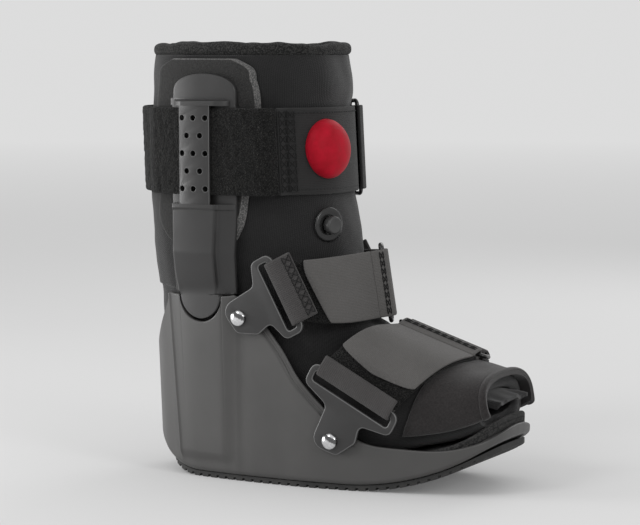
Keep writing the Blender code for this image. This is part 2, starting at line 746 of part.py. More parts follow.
def strut_ring(z, nodes, thick, side):
    """Ring of the strut at a height: outer nodes from rear to front, then the inner ones back."""
    x = STRUT_X + np.asarray(nodes) * SLAT_WIDTH
    inner = strut_inner(x, z)
    outer = inner + np.asarray(thick)
    outer_points = np.stack([x, side * outer, np.full(len(x), z)], axis=-1)
    inner_points = np.stack([x, side * inner, np.full(len(x), z)], axis=-1)
    return np.concatenate([outer_points, inner_points[::-1]])


def tunnel_depth():
    """From the strut's inner face to the inner face of the slat: back plate, strap and clearances."""
    return STRUT_BACK_PLATE + CALF_STRAP_THICKNESS + 5 * GAP


def strut_window():
    """Lower and upper end of the gap that the calf strap passes through."""
    half = CALF_STRAP_WIDTH / 2
    return CALF_STRAP_HEIGHT - half - WINDOW_BELOW, CALF_STRAP_HEIGHT + half + WINDOW_ABOVE


def wall_ring(x, z, outer, inner, side):
    """Ring of an upright plate at a height: its outer points, then the inner ones back."""
    height = np.full(len(x), z)
    outer_points = np.stack([x, side * outer, height], axis=-1)
    inner_points = np.stack([x, side * inner, height], axis=-1)
    return np.concatenate([outer_points, inner_points[::-1]])


def strut_tongue(side):
    """Rings of the tongue behind the shell's wall."""
    x = NOTCH_X + np.array([-0.5, -0.4, 0.0, 0.4, 0.5]) * SLAT_WIDTH
    rings = []
    for z in np.linspace(CUFF_HEIGHT - TONGUE_DEPTH, CUFF_HEIGHT - STRUT_STEP, 4):
        outer = wall_side(x, z) - SHELL_WALL - GAP
        rings.append(wall_ring(x, z, outer, outer - STRUT_TONGUE, side))
    return rings


def strut_body(side):
    """Rings of the panelled body, then the thin plate behind the strap, the ledge over it and the paddle."""
    edge, full = STRUT_BACK_PLATE, tunnel_depth() + SLAT_THICKNESS
    low, high = strut_window()
    rings = []
    heights = column(STRUT, "up") * STRUT_TOP
    heights[0] = CUFF_HEIGHT + 2 * GAP
    for height, row in zip(heights, STRUT):
        nodes = (row.rear, row.panel_rear, row.panel_front, row.panel_front + BEVEL_SHARE, row.front)
        thick = (edge, row.body * STRUT_BODY, row.body * STRUT_BODY, row.side * STRUT_BODY, edge)
        rings.append(strut_ring(height, nodes, thick, side))
    rings.append(strut_ring(low - GAP, nodes, (edge, full, full, full * row.side, edge), side))
    thin = np.full(len(PADDLE), edge)
    rings += [strut_ring(z, PADDLE, thin, side) for z in (low, (low + high) / 2, high)]
    ledge = (edge, full, full, full, edge)
    rings += [strut_ring(high + rise, LEDGE, ledge, side) for rise in (GAP, LEDGE_HEIGHT)]
    start = high + LEDGE_HEIGHT + LEDGE_STEP
    rings.append(strut_ring(start, PADDLE, thin, side))
    middle = (PADDLE[0] + PADDLE[-1]) / 2
    for share in (0.45, 0.75, 0.93, 1.0):
        narrow = math.sqrt(max(0.05, 1 - max(0.0, share - 0.10) ** PADDLE_ROUND))
        nodes = [middle + (node - middle) * narrow for node in PADDLE]
        rings.append(strut_ring(start + (STRUT_TOP - start) * share, nodes, thin, side))
    return rings


def strut_foot(side):
    """Rings of the rounded foot, flush with the shell in its notch."""
    half = NOTCH_WIDTH / 2 - NOTCH_CLEARANCE
    depth = NOTCH_DEPTH - NOTCH_CLEARANCE
    rings = []
    for share in (1.0, 0.97, 0.88, 0.72, 0.42, 0.0):
        z = CUFF_HEIGHT - depth * share
        reach = half * math.sqrt(max(1 - share**2, 0.02))
        x = NOTCH_X + np.linspace(-reach, reach, 5)
        outer = wall_side(x, z)
        rings.append(wall_ring(x, z, outer, outer - SHELL_WALL - GAP - STRUT_TONGUE / 2, side))
    top = CUFF_HEIGHT + 2 * STRUT_STEP
    x = NOTCH_X + np.linspace(-half, half, 5) * 0.95
    inner = strut_inner(x, top)
    rings.append(wall_ring(x, top, inner + STRUT_BODY / 2, inner + STRUT_STEP / 2, side))
    return rings


def strut_slat(side):
    """Rings of the bridge over the strap."""
    low, high = strut_window()
    x = STRUT_X - SLAT_SHIFT + np.linspace(-0.5, 0.5, 5) * BRIDGE_WIDTH
    rings = []
    for z in np.linspace(low - 2 * STRUT_STEP, high + 2 * STRUT_STEP, 5):
        inner = strut_inner(x, z) + tunnel_depth()
        rings.append(wall_ring(x, z, inner + SLAT_THICKNESS, inner, side))
    return rings


def add_strut(name, side):
    strut = add_loft(name, strut_tongue(side) + strut_body(side), "shell")
    add_boolean(strut, add_loft(name + "_foot", strut_foot(side), "shell"), "UNION")
    add_boolean(strut, add_loft(name + "_slat", strut_slat(side), "shell"), "UNION")
    add_boolean(strut, slat_holes(name + "_holes", side), "DIFFERENCE")
    return strut


def slat_holes(name, side):
    """Cutters for five rows of holes, three and two by turns."""
    points, faces = [], []
    reach = leg_side(STRUT_X, CALF_STRAP_HEIGHT) + PAD_THICKNESS + tunnel_depth()
    around = (np.arange(HOLE_SIDES) + 0.5) * 2 * math.pi / HOLE_SIDES
    for row in range(5):
        z = CALF_STRAP_HEIGHT - HOLE_SHIFT + (2 - row) * HOLE_PITCH
        places = (-0.31, 0.0, 0.31) if row % 2 == 0 else (-0.175, 0.175)
        for place in places:
            x = STRUT_X - SLAT_SHIFT + place * SLAT_WIDTH
            start = len(points)
            for out in (reach - SLAT_THICKNESS / 2, reach + 4 * SLAT_THICKNESS):
                for across, rise in SLAT_HOLE / 2 * np.stack([np.cos(around), np.sin(around)], axis=-1):
                    points.append((x + across, side * out, z + rise))
            faces.append(tuple(range(start, start + HOLE_SIDES)))
            faces.append(tuple(range(start + 2 * HOLE_SIDES - 1, start + HOLE_SIDES - 1, -1)))
            for i in range(HOLE_SIDES):
                j = (i + 1) % HOLE_SIDES
                faces.append((start + i, start + HOLE_SIDES + i, start + HOLE_SIDES + j, start + j))
    cutter = add_mesh(name, np.array(points), faces, "shell")
    cutter.hide_render = True
    cutter.display_type = "WIRE"
    return cutter


def mirrored_turn(turn, side):
    return turn if side < 0 else math.pi - turn


def add_pad(name, side):
    outer, inner = [], []
    rows = np.array([0.0, 0.03, 0.08, 0.25, 0.45, 0.65, 0.85, 0.96, 1.0])
    for share in rows:
        z = PAD_BOTTOM + share * (PAD_TOP - PAD_BOTTOM)
        rear = STRUT_X + hermite(column(PAD, "up"), column(PAD, "rear"), share) * LEG_DEPTH
        front = STRUT_X + hermite(column(PAD, "up"), column(PAD, "front"), share) * LEG_DEPTH
        around = np.linspace(leg_turn(rear, z), leg_turn(front, z), 9)
        around = mirrored_turn(around, side)
        outer.append(leg_point(around, z, 2 * GAP + PAD_THICKNESS))
        inner.append(leg_point(around, z, 2 * GAP))
    return add_sheet(name, np.array(outer), np.array(inner), "pile")


# Plates, rings and straps

def unit(vector):
    vector = np.asarray(vector, float)
    return vector / np.linalg.norm(vector, axis=-1, keepdims=True)


def filleted(corners, segments=4):
    """Closed outline from corners with radii, each turned into an arc."""
    points = []
    for k, (x, y, radius) in enumerate(corners):
        here = np.array([x, y])
        before = unit(np.array(corners[k - 1][:2]) - here)
        after = unit(np.array(corners[(k + 1) % len(corners)][:2]) - here)
        half = math.acos(np.clip(before @ after, -1, 1)) / 2
        reach = radius / math.tan(half)
        centre = here + unit(before + after) * radius / math.sin(half)
        start, end = here + before * reach - centre, here + after * reach - centre
        first = math.atan2(start[1], start[0])
        sweep = (math.atan2(end[1], end[0]) - first + math.pi) % (2 * math.pi) - math.pi
        for i in range(segments + 1):
            angle = first + sweep * i / segments
            points.append(centre + radius * np.array([math.cos(angle), math.sin(angle)]))
    return np.array(points)


def plate_outlines(strap_width):
    """Outline, slot and rivet hole of a strap plate, rivet at the origin and slot across +Y."""
    slot = strap_width / 2 + 0.0015
    bar = slot + PLATE_RIM
    top = PLATE_REACH + SLOT_WIDTH / 2 + PLATE_RIM
    low = PLATE_REACH - SLOT_WIDTH / 2 - 0.9 * PLATE_RIM
    neck = 0.6 * PLATE_REACH
    lobe = 1.2 * RIVET_HEAD
    outline = filleted((
        (-bar, top, 1.3 * PLATE_RIM), (-bar, low, 1.2 * PLATE_RIM), (-lobe, neck, 1.1 * PLATE_RIM),
        (-0.88 * lobe, -0.70 * lobe, 1.85 * PLATE_RIM), (0.63 * lobe, -0.45 * lobe, 1.3 * PLATE_RIM),
        (1.2 * lobe, 0.6 * lobe, 1.1 * PLATE_RIM), (lobe, neck, 0.9 * PLATE_RIM),
        (bar, low, 1.2 * PLATE_RIM), (bar, top, 1.3 * PLATE_RIM),
    ))
    half = SLOT_WIDTH / 2
    window = filleted((
        (-slot, PLATE_REACH - half, SLOT_CORNER), (slot, PLATE_REACH - half, SLOT_CORNER),
        (slot, PLATE_REACH + half, SLOT_CORNER), (-slot, PLATE_REACH + half, SLOT_CORNER),
    ), 3)
    around = np.arange(10) * 2 * math.pi / 10
    hole = (RIVET_SHANK / 2 + GAP) * np.stack([np.cos(around), np.sin(around)], axis=-1)
    return outline, window, hole


Plate = namedtuple("Plate", "along up angle strap")
PLATES = {
    "ankle": Plate(0.3346, 0.8843, 28.4, ANKLE_STRAP_WIDTH),
    "toe": Plate(0.5850, 1.117, 61.9, TOE_STRAP_WIDTH),
}


def plate_frame(kind, side):
    """Rivet point, directions across and towards the slot, and outward, of a plate."""
    row = PLATES[kind]
    x = HEEL_X + row.along * SOLE_LENGTH
    z = row.up * (CUFF_HEIGHT if kind == "ankle" else FOREFOOT_HEIGHT)
    angle = math.radians(row.angle)
    across = np.array([math.sin(angle), 0, -math.cos(angle)])
    toward = np.array([math.cos(angle), 0, math.sin(angle)])
    near = x + np.linspace(-1.5, 3.0, 8) * RIVET_HEAD
    seat = max(wall_side(near, np.full(8, z)).max(), wall_side(near, np.full(8, z * 1.15)).max())
    middle = seat + GAP + PLATE_THICKNESS / 2
    return np.array([x, side * middle, z]), across, toward, np.array([0, side, 0])


def add_plate(kind, name, side):
    rivet, across, toward, out = plate_frame(kind, side)
    outline, window, hole = plate_outlines(PLATES[kind].strap)
    curve = bpy.data.curves.new(name, "CURVE")
    curve.dimensions = "2D"
    curve.fill_mode = "BOTH"
    curve.extrude = PLATE_THICKNESS / 2
    flip = 1 if side < 0 else -1
    for points in (outline, window, hole):
        spline = curve.splines.new("POLY")
        spline.points.add(len(points) - 1)
        spline.use_cyclic_u = True
        for point, (x, y) in zip(spline.points, points):
            point.co = (flip * x, y, 0, 1)
    curve.materials.append(material("shell"))
    item = bpy.data.objects.new(name, curve)
    bpy.context.scene.collection.objects.link(item)
    axes = np.stack([flip * across, toward, out], axis=1)
    item.matrix_world = Matrix([[*axes[k], rivet[k]] for k in range(3)] + [[0, 0, 0, 1]])
    return item


def turned(name, profile, origin, axis, finish, sides=14):
    """A turned piece: radii and heights of its profile round an axis."""
    axis = unit(axis)
    first = unit(np.cross(axis, (0.0, 0.0, 1.0) if abs(axis[2]) < 0.9 else (1.0, 0.0, 0.0)))
    second = np.cross(axis, first)
    around = np.arange(sides) * 2 * math.pi / sides
    rings = [
        origin + h * axis + r * (np.cos(around)[:, None] * first + np.sin(around)[:, None] * second)
        for r, h in profile
    ]
    return add_loft(name, rings, finish)


def add_rivet(kind, name, side):
    rivet, _, _, out = plate_frame(kind, side)
    seat = PLATE_THICKNESS / 2 + GAP
    profile = [(RIVET_SHANK / 2, -PLATE_THICKNESS / 2), (RIVET_SHANK / 2, seat)]
    for turn in np.radians([0, 25, 50, 72, 86]):
        profile.append((RIVET_HEAD / 2 * math.cos(turn), seat + 0.0003 + RIVET_DOME * math.sin(turn)))
    profile.insert(2, (RIVET_HEAD / 2, seat))
    return turned(name, profile, rivet, out, "chrome")


def hook(bar, away, out, half, thick, strap):
    """Middle line of a strap that comes in under a bar, goes round it and ends on its own top."""
    gap = GAP + 0.0002
    q = gap + strap / 2
    high = half[1] + q
    end = -high + strap + 2 * GAP
    steps = [
        (half[0], -high), (-half[0], -high),
        (-half[0] - 0.7 * q, -half[1] - 0.7 * q), (-half[0] - q, -half[1]),
        (-half[0] - q, half[1]), (-half[0] - 0.7 * q, half[1] + 0.7 * q),
        (-half[0], high), (half[0], high),
        (half[0] + 0.0060, (high + end) / 2), (half[0] + thick, end),
    ]
    return np.array([bar + m * away + h * out for m, h in steps])


def bezier(start, start_handle, end_handle, end, at):
    at = np.asarray(at, float)[:, None]
    return (
        (1 - at) ** 3 * start + 3 * (1 - at) ** 2 * at * start_handle
        + 3 * (1 - at) * at**2 * end_handle + at**3 * end
    )


def add_band(name, line, across, thick, finish, low=None, high=None):
    """A flat strap along a middle line, between two edges given as shares along its width vectors."""
    line = np.asarray(line, float)
    across = np.asarray(across, float)
    along = unit(np.gradient(line, axis=0))
    face = unit(np.cross(along, across))
    low = -np.ones(len(line)) if low is None else low
    high = np.ones(len(line)) if high is None else high
    top, bottom = across * np.asarray(high)[:, None], across * np.asarray(low)[:, None]
    half = face * thick / 2
    corners = (line + bottom + half, line + top + half, line + top - half, line + bottom - half)
    return add_loft(name, np.stack(corners, axis=1), finish)


# Rings over the ankle and the toes: along, side and up place the outer bar as shares of SOLE_LENGTH,
# HALF_WIDTH and INSTEP_HEIGHT. bar is the bars' direction, way leads from the outer bar to the inner one,
# and arrive is the strap's direction at the outer bar. plate_pull and ring_pull are the lengths of the
# strap's curve handles as shares of its reach, and sag is how far it turns down where it leaves its plate.
Ring = namedtuple("Ring", "along side up bar way arrive plate_pull ring_pull sag")
RINGS = {
    "ankle": Ring(
        0.634, -0.03, 1.134, (0.16, 0.0, -0.99), (-0.36, 0.93, 0.0), (0.30, 0.95, 0.0),
        plate_pull=0.36, ring_pull=0.50, sag=0.55,
    ),
    "toe": Ring(
        0.765, 0.20, 0.8160, (0.95, 0.0, -0.32), (0.0, 0.98, -0.19), (0.05, 0.99, -0.05),
        plate_pull=0.50, ring_pull=0.50, sag=0.15,
    ),
}


def square_to(vector, axis):
    """The part of a vector that is square to an axis, at unit length."""
    vector, axis = np.asarray(vector, float), unit(axis)
    return unit(vector - axis * (vector @ axis))


def strap_route(kind, side, bar, arrive, ring_bar):
    """Middle line and width vectors of a strap from its plate to a ring's bar, and its free stretch."""
    plate, ring = PLATES[kind], RINGS[kind]
    rivet, across, toward, outward = plate_frame(kind, side)
    bar_at = rivet + toward * (PLATE_REACH + SLOT_WIDTH / 2 + PLATE_RIM / 2)
    half_bar = (PLATE_RIM / 2, PLATE_THICKNESS / 2)
    start_hook = hook(bar_at, toward, outward, half_bar, PLATE_FOLD, STRAP_THICKNESS)[::-1]
    arrive = square_to(arrive, ring_bar)
    out = unit(np.cross(ring_bar, arrive)) * -side
    end_hook = hook(bar, -arrive, out, (RING_WIRE / 2, RING_WIRE / 2), RING_FOLD, STRAP_THICKNESS)
    reach = np.linalg.norm(bar - bar_at)
    lean = unit(toward + np.array([0.15, -0.25 * side, -ring.sag]))
    handle = start_hook[-1] + lean * reach * ring.plate_pull
    back = end_hook[0] - arrive * reach * ring.ring_pull
    at = np.linspace(0, 1, 12)[1:-1]
    free = bezier(start_hook[-1], handle, back, end_hook[0], at)
    line = np.concatenate([start_hook, free, end_hook])
    share = np.concatenate([np.zeros(len(start_hook)), smoothstep(0, 1, at), np.ones(len(end_hook))])
    width = unit(across * (1 - share)[:, None] + ring_bar * share[:, None]) * plate.strap / 2
    return line, width, slice(len(start_hook) - 1, len(start_hook) + len(free) + 1), out


def add_ring(name, near, far, bar, length):
    """Rounded oblong of wire round two bars."""
    way = unit(far - near)
    half, reach = np.linalg.norm(far - near) / 2, length / 2
    corner = RING_CORNER
    corners = ((-half, -reach, corner), (half, -reach, corner), (half, reach, corner), (-half, reach, corner))
    path = filleted(corners, 3)
    along = unit(np.roll(path, -1, axis=0) - np.roll(path, 1, axis=0))
    side = np.stack([along[:, 1], -along[:, 0]], axis=-1)
    out = np.cross(way, bar)
    rings = []
    for turn in np.arange(RING_SIDES) * 2 * math.pi / RING_SIDES:
        spot = path + side * RING_WIRE / 2 * math.cos(turn)
        lift = out * RING_WIRE / 2 * math.sin(turn)
        rings.append((near + far) / 2 + spot[:, :1] * way + spot[:, 1:] * bar + lift)
    return add_loft(name, np.stack(rings, axis=1), "gloss", closed=True)


# Loose ends: length as a share of the strap's free stretch, where the lower and upper edges of the end
# start to curve, as shares of the tab's length, and where they meet, as a share of the strap's half width.
Tab = namedtuple("Tab", "length low high meet")
TABS = {"ankle": Tab(0.79, 0.94, 0.92, -0.55), "toe": Tab(0.86, 0.90, 0.90, 0.0)}
TAB_STATIONS = 14


def tab_edges(kind, share):
    """Lower and upper edge of a loose end, as shares of the half width."""
    tab = TABS[kind]
    low = np.clip((share - tab.low) / (1 - tab.low), 0, 1) ** 2
    high = np.clip((share - tab.high) / (1 - tab.high), 0, 1) ** 2
    reach = 0.96
    return -1 + low * (1 + tab.meet) * reach, 1 - high * (1 - tab.meet) * reach


def add_strap_set(kind):
    """Plates, rivets, strap, ring, anchor strap and tab of the ankle or the toe."""
    ring, plate = RINGS[kind], PLATES[kind]
    for name, side in (("lateral", -1), ("medial", 1)):
        add_plate(kind, f"{kind}_plate_{name}", side)
        add_rivet(kind, f"rivet_{kind}_{name}", side)
    bar = unit(ring.bar)
    way = square_to(ring.way, bar)
    near = np.array([HEEL_X + ring.along * SOLE_LENGTH, ring.side * HALF_WIDTH, ring.up * INSTEP_HEIGHT])
    far = near + way * (RING_GAP + RING_WIRE)
    add_ring(f"{kind}_ring", near, far, bar, plate.strap + 2 * RING_CORNER + 2 * GAP)
    line, width, free, out = strap_route(kind, -1, near, np.array(ring.arrive), bar)
    add_band(f"{kind}_strap", line, width, STRAP_THICKNESS, "pile")
    anchor, anchor_width, _, _ = strap_route(kind, 1, far, -way, bar)
    add_band(f"{kind}_anchor_strap", anchor, anchor_width, STRAP_THICKNESS, "webbing")

    stretch, sides = line[free][::-1], width[free][::-1]
    face = unit(np.cross(np.gradient(stretch, axis=0), sides))
    face *= np.sign((face @ out).sum())
    tab = stretch + face * ((STRAP_THICKNESS + TAB_THICKNESS) / 2 + TAB_CLEARANCE)
    length = np.concatenate([[0], np.cumsum(np.linalg.norm(np.diff(tab, axis=0), axis=1))])
    share = 1 - (1 - np.linspace(0, 1, TAB_STATIONS)) ** 1.4
    start = RING_FOLD + 0.0025
    stops = start + (length[-1] * TABS[kind].length - start) * share
    tab = np.stack([np.interp(stops, length, tab[:, k]) for k in range(3)], axis=-1)
    sides = np.stack([np.interp(stops, length, sides[:, k]) for k in range(3)], axis=-1)
    add_band(f"{kind}_tab", tab, sides, TAB_THICKNESS, "webbing", *tab_edges(kind, share))


# Calf strap, bulb and valve

def calf_out(turn):
    """How far the calf strap's inner face lies off the leg: out over pads and struts, on the liner else."""
    from_side = np.degrees(np.arcsin(np.clip(np.abs(np.sin(turn)), 0, 1)))
    over = 1 - smoothstep(24, 44, from_side)
    return STRAP_CLEARANCE + over * (PAD_THICKNESS + PAD_CLEARANCE + STRUT_BACK_PLATE + 2 * GAP)


def calf_edge(turn, out, way):
    """Point over the upper or lower edge of the band round the leg, which stands off at its upper rear."""
    z = CALF_STRAP_HEIGHT + way * CALF_STRAP_WIDTH / 2
    rear = REAR_STAND * smoothstep(0.3, 1.0, -np.sin(turn)) * (1 + way) / 2
    return leg_point(turn, z, out + rear)


def calf_point(turn, out, z=CALF_STRAP_HEIGHT):
    """Point of the band round the leg, straight from its lower edge to its upper one."""
    share = (np.asarray(z, float)[..., None] - CALF_STRAP_HEIGHT) / CALF_STRAP_WIDTH + 0.5
    low, high = calf_edge(turn, out, -1), calf_edge(turn, out, 1)
    return low + (high - low) * share


def calf_across(turn):
    """Half of the band's width, as a vector that leans with the leg."""
    return (calf_edge(turn, 0.0, 1) - calf_edge(turn, 0.0, -1)) / 2


def turn_per_metre(turn):
    ends = calf_point(np.array([turn - 0.05, turn + 0.05]), RING_STAND)
    return 0.1 / np.linalg.norm(ends[1] - ends[0])


def add_calf_band(name, turns_along, thick, finish, bar=None):
    """Band round the leg, which may end in a fold round a ring's bar."""
    turns_along = np.asarray(turns_along)
    line = calf_point(turns_along, calf_out(turns_along) + thick / 2)
    across = calf_across(turns_along)
    if bar is not None:
        ring_bar = unit(calf_across(RING_TURN))
        run = square_to(line[-1] - line[-2], ring_bar)
        out = np.cross(run, ring_bar)
        out *= np.sign(out @ (bar - calf_point(RING_TURN, 0.0)))
        wire = (RING_WIRE / 2, RING_WIRE / 2)
        fold = hook(bar, -run, out, wire, RING_FOLD, thick)
        line = np.concatenate([line, fold])
        across = np.concatenate([across, np.tile(ring_bar * CALF_STRAP_WIDTH / 2, (len(fold), 1))])
    return add_band(name, line, across, thick, finish)


def add_calf_set():
    """Pile strap round the back through both struts, front panel, ring and folded end."""
    step = turn_per_metre(RING_TURN)
    far_turn = RING_TURN + (RING_GAP + RING_WIRE) * step
    near, far = calf_point(np.array([RING_TURN, far_turn]), RING_STAND)
    bar = unit(calf_across(RING_TURN))
    far = near + square_to(far - near, bar) * (RING_GAP + RING_WIRE)
    add_ring("calf_ring", near, far, bar, CALF_STRAP_WIDTH + 2 * RING_CORNER + 2 * GAP)
    before = RING_BEFORE * step
    panel = np.linspace(CALF_SEAM, RING_TURN - before, 12)
    add_calf_band("calf_panel", panel, STRAP_THICKNESS, "webbing", near)
    round_back = np.linspace(CALF_SEAM - math.radians(0.6), far_turn + before - 2 * math.pi, 46)
    add_calf_band("calf_strap", round_back, CALF_STRAP_THICKNESS, "pile", far)
    tab_start = far_turn + (RING_FOLD + RING_BEFORE / 2) * step
    tab = np.linspace(tab_start, CALF_TAB_END, 8)
    line = calf_point(tab, calf_out(tab) + CALF_STRAP_THICKNESS + TAB_CLEARANCE + TAB_THICKNESS / 2)
    add_band("calf_tab", line, calf_across(tab), TAB_THICKNESS, "webbing")


def leg_frame(turn, z, out):
    """Point, outward, sideways and upward directions on the leg."""
    here = leg_point(turn, z, out)
    side = unit(leg_point(turn + 0.01, z, out) - leg_point(turn - 0.01, z, out))
    outward = unit(np.cross(side, (0.0, 0.0, 1.0)))
    return here, outward, side, np.array([0.0, 0.0, 1.0])


# Rings of the bulb from its foot up: radius as a share of half BULB_DIAMETER, rise of BULB_DOME.
Dome = namedtuple("Dome", "radius rise")
DOME = (
    Dome(0.05, 0.0), Dome(0.60, 0.0), Dome(0.97, 0.0), Dome(1.0, 0.10), Dome(0.97, 0.34), Dome(0.82, 0.70),
    Dome(0.52, 0.92), Dome(0.05, 1.0),
)


def add_bulb():
    """Dome whose foot follows the front panel's curve."""
    around = np.arange(20) * 2 * math.pi / 20
    foot = STRAP_CLEARANCE + STRAP_THICKNESS + 2 * GAP
    rings = []
    for radius, rise in DOME:
        reach = radius * BULB_DIAMETER / 2
        turn = BULB_TURN + reach * np.cos(around) * turn_per_metre(BULB_TURN)
        height = CALF_STRAP_HEIGHT + BULB_RISE + reach * np.sin(around)
        rings.append(calf_point(turn, foot + rise * BULB_DOME, height))
    return add_loft("pump_bulb", rings, "bulb")


def add_valve():
    """Release valve: a cup on the liner and the button that is pressed into it."""
    here, outward, side, up = leg_frame(VALVE_TURN, VALVE_HEIGHT, 0.0)
    around = np.arange(20) * 2 * math.pi / 20
    per_metre = turn_per_metre(VALVE_TURN)
    well = VALVE_BUTTON / 2 + GAP
    rings = []
    for radius in (0.4 * VALVE_BASE / 2, VALVE_BASE / 2):
        turn = VALVE_TURN + radius * np.cos(around) * per_metre
        rings.append(leg_point(turn, VALVE_HEIGHT + radius * np.sin(around), STRAP_CLEARANCE))
    for radius, height in (
        (0.96 * VALVE_BASE / 2, 0.75 * VALVE_BASE_HEIGHT), (0.84 * VALVE_BASE / 2, VALVE_BASE_HEIGHT),
        (well, VALVE_BASE_HEIGHT), (well, VALVE_WELL),
    ):
        across, rise = radius * np.cos(around), radius * np.sin(around)
        rings.append(here + across[:, None] * side + rise[:, None] * up + height * outward)
    add_loft("valve_base", rings, "gloss")
    low = VALVE_WELL + GAP + VALVE_TRAVEL
    edge = 0.0010
    button = (
        (VALVE_BUTTON / 2, low), (VALVE_BUTTON / 2, low + VALVE_BUTTON_HEIGHT - edge),
        (VALVE_BUTTON / 2 - edge, low + VALVE_BUTTON_HEIGHT),
    )
    turned("valve_button", button, here, outward, "shell", 20)


def main():
    clear_scene()
    add_shell()
    add_outsole()
    add_footbed()
    add_liner()
    add_collar()
    add_toe_pieces()
    for name, side in (("lateral", -1), ("medial", 1)):
        add_strut("strut_" + name, side)
        add_pad("strut_pad_" + name, side)
    for kind in PLATES:
        add_strap_set(kind)
    add_calf_set()
    add_bulb()
    add_valve()


main()
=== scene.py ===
"""Air walker boot, dressed: moulded shell, padded liner, struts, straps, pump bulb and valve.

Metres, +Z up, toe at +X, outer side at -Y, as in the part.
"""

import math
from collections import namedtuple

import bmesh
import bpy
import numpy as np
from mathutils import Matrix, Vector


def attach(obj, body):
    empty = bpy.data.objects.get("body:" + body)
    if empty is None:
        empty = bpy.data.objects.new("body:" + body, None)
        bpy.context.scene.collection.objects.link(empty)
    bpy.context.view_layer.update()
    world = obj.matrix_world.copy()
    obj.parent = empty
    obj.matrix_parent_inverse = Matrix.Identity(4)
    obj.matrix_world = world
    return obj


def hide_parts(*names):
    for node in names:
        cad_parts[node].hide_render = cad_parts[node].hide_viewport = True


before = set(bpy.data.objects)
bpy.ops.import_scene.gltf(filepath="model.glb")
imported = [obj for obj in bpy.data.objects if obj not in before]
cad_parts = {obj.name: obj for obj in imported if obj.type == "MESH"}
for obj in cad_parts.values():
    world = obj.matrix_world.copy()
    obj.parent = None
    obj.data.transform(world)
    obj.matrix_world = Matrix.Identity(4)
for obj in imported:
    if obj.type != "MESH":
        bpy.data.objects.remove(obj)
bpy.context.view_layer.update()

# Driving dimensions, as in the part: sole and shell
SOLE_LENGTH = 0.2856
SOLE_WIDTH = 0.126
HEEL_SHARE = 0.448
TREAD_THICKNESS = 0.0040
TOE_ROCKER_RADIUS = 0.190
TOE_ROCKER_START = 0.048
HEEL_ROCKER_RADIUS = 0.090
HEEL_ROCKER_START = -0.070
SHELL_WALL = 0.0030
SHELL_FLOOR = 0.0040
SOLE_CORNER = 0.0035
HEEL_CORNER = 0.0100
CUFF_HEIGHT = 0.134
FOREFOOT_HEIGHT = 0.0316
LIP_WIDTH = 0.0050
LIP_STEP = 0.0012
FOOTBED_THICKNESS = 0.0125
BED_CLEARANCE = 0.0010
BED_CORNER = 0.0015

# Driving dimensions: liner
BOOT_HEIGHT = 0.3125
LEG_DEPTH = 0.154
LEG_WIDTH = 0.120
LEG_SETBACK = 0.0755
LINER_WALL = 0.0090
INSTEP_HEIGHT = 0.125
COLLAR_HEIGHT = 0.0095
COLLAR_FLARE = 0.0014
FLAP_THICKNESS = 0.0035
UNDERFLAP_THICKNESS = 0.0025

# Driving dimensions: struts and pads
STRUT_SETBACK = 0.0680
NOTCH_SETBACK = 0.0622
STRUT_TOP = BOOT_HEIGHT - 0.0215
STRUT_BACK_PLATE = 0.0028
STRUT_BODY = 0.0092
NOTCH_WIDTH = 0.0370
NOTCH_DEPTH = 0.0185
NOTCH_CLEARANCE = 0.0011
SLAT_WIDTH = 0.030
BRIDGE_WIDTH = 0.0245
SLAT_THICKNESS = 0.0024
SLAT_SHIFT = 0.0020
HOLE_PITCH = 0.0125
HOLE_SHIFT = 0.0013
WINDOW_BELOW = 0.0065
WINDOW_ABOVE = 0.0015
LEDGE_HEIGHT = 0.0050
LEDGE_STEP = 0.0015
STRUT_STEP = 0.0020
PAD_TOP = BOOT_HEIGHT - 0.0110
PAD_BOTTOM = 0.1680
PAD_THICKNESS = 0.0050
PAD_CLEARANCE = 0.0012

# Driving dimensions: straps, plates, rings, valve and bulb
CALF_STRAP_WIDTH = 0.0615
CALF_STRAP_HEIGHT = BOOT_HEIGHT - 0.0762
CALF_STRAP_THICKNESS = 0.0035
ANKLE_STRAP_WIDTH = 0.0480
TOE_STRAP_WIDTH = 0.0620
STRAP_THICKNESS = 0.0020
TAB_THICKNESS = 0.0016
PLATE_THICKNESS = 0.0030
SLOT_WIDTH = 0.0080
SLOT_CORNER = 0.0022
PLATE_RIM = 0.0046
PLATE_REACH = 0.0350
RIVET_HEAD = 0.0120
RIVET_DOME = 0.0028
RIVET_SHANK = 0.0052
RING_WIRE = 0.0030
RING_GAP = 0.0100
RING_CORNER = 0.0032
PLATE_FOLD = 0.0140
RING_FOLD = 0.0100
TAB_CLEARANCE = 0.0009
BULB_DIAMETER = 0.0420
BULB_DOME = 0.0105
BULB_RISE = 0.0015
VALVE_BASE = 0.0250
VALVE_BASE_HEIGHT = 0.0026
VALVE_BUTTON = 0.0130
VALVE_BUTTON_HEIGHT = 0.0062
VALVE_TRAVEL = 0.0015
VALVE_WELL = 0.0009
VALVE_HEIGHT = CALF_STRAP_HEIGHT - 0.0523
GAP = 0.0003
STRAP_CLEARANCE = 0.0006
RING_STAND = 0.0060
RING_BEFORE = 0.0080
REAR_STAND = 0.0030

# Places round the leg, from the outer side towards the front
BULB_TURN = math.radians(72)
VALVE_TURN = math.radians(67)
RING_TURN = math.radians(128)
CALF_SEAM = math.radians(34)
CALF_TAB_END = math.radians(165)

# Places that follow from them
HEEL_X = -HEEL_SHARE * SOLE_LENGTH
HALF_WIDTH = SOLE_WIDTH / 2
LEG_X = HEEL_X + LEG_SETBACK
STRUT_X = HEEL_X + STRUT_SETBACK
NOTCH_X = HEEL_X + NOTCH_SETBACK
FLOOR_RISE = TREAD_THICKNESS + GAP + SHELL_FLOOR
LEG_ROUND = 2.5

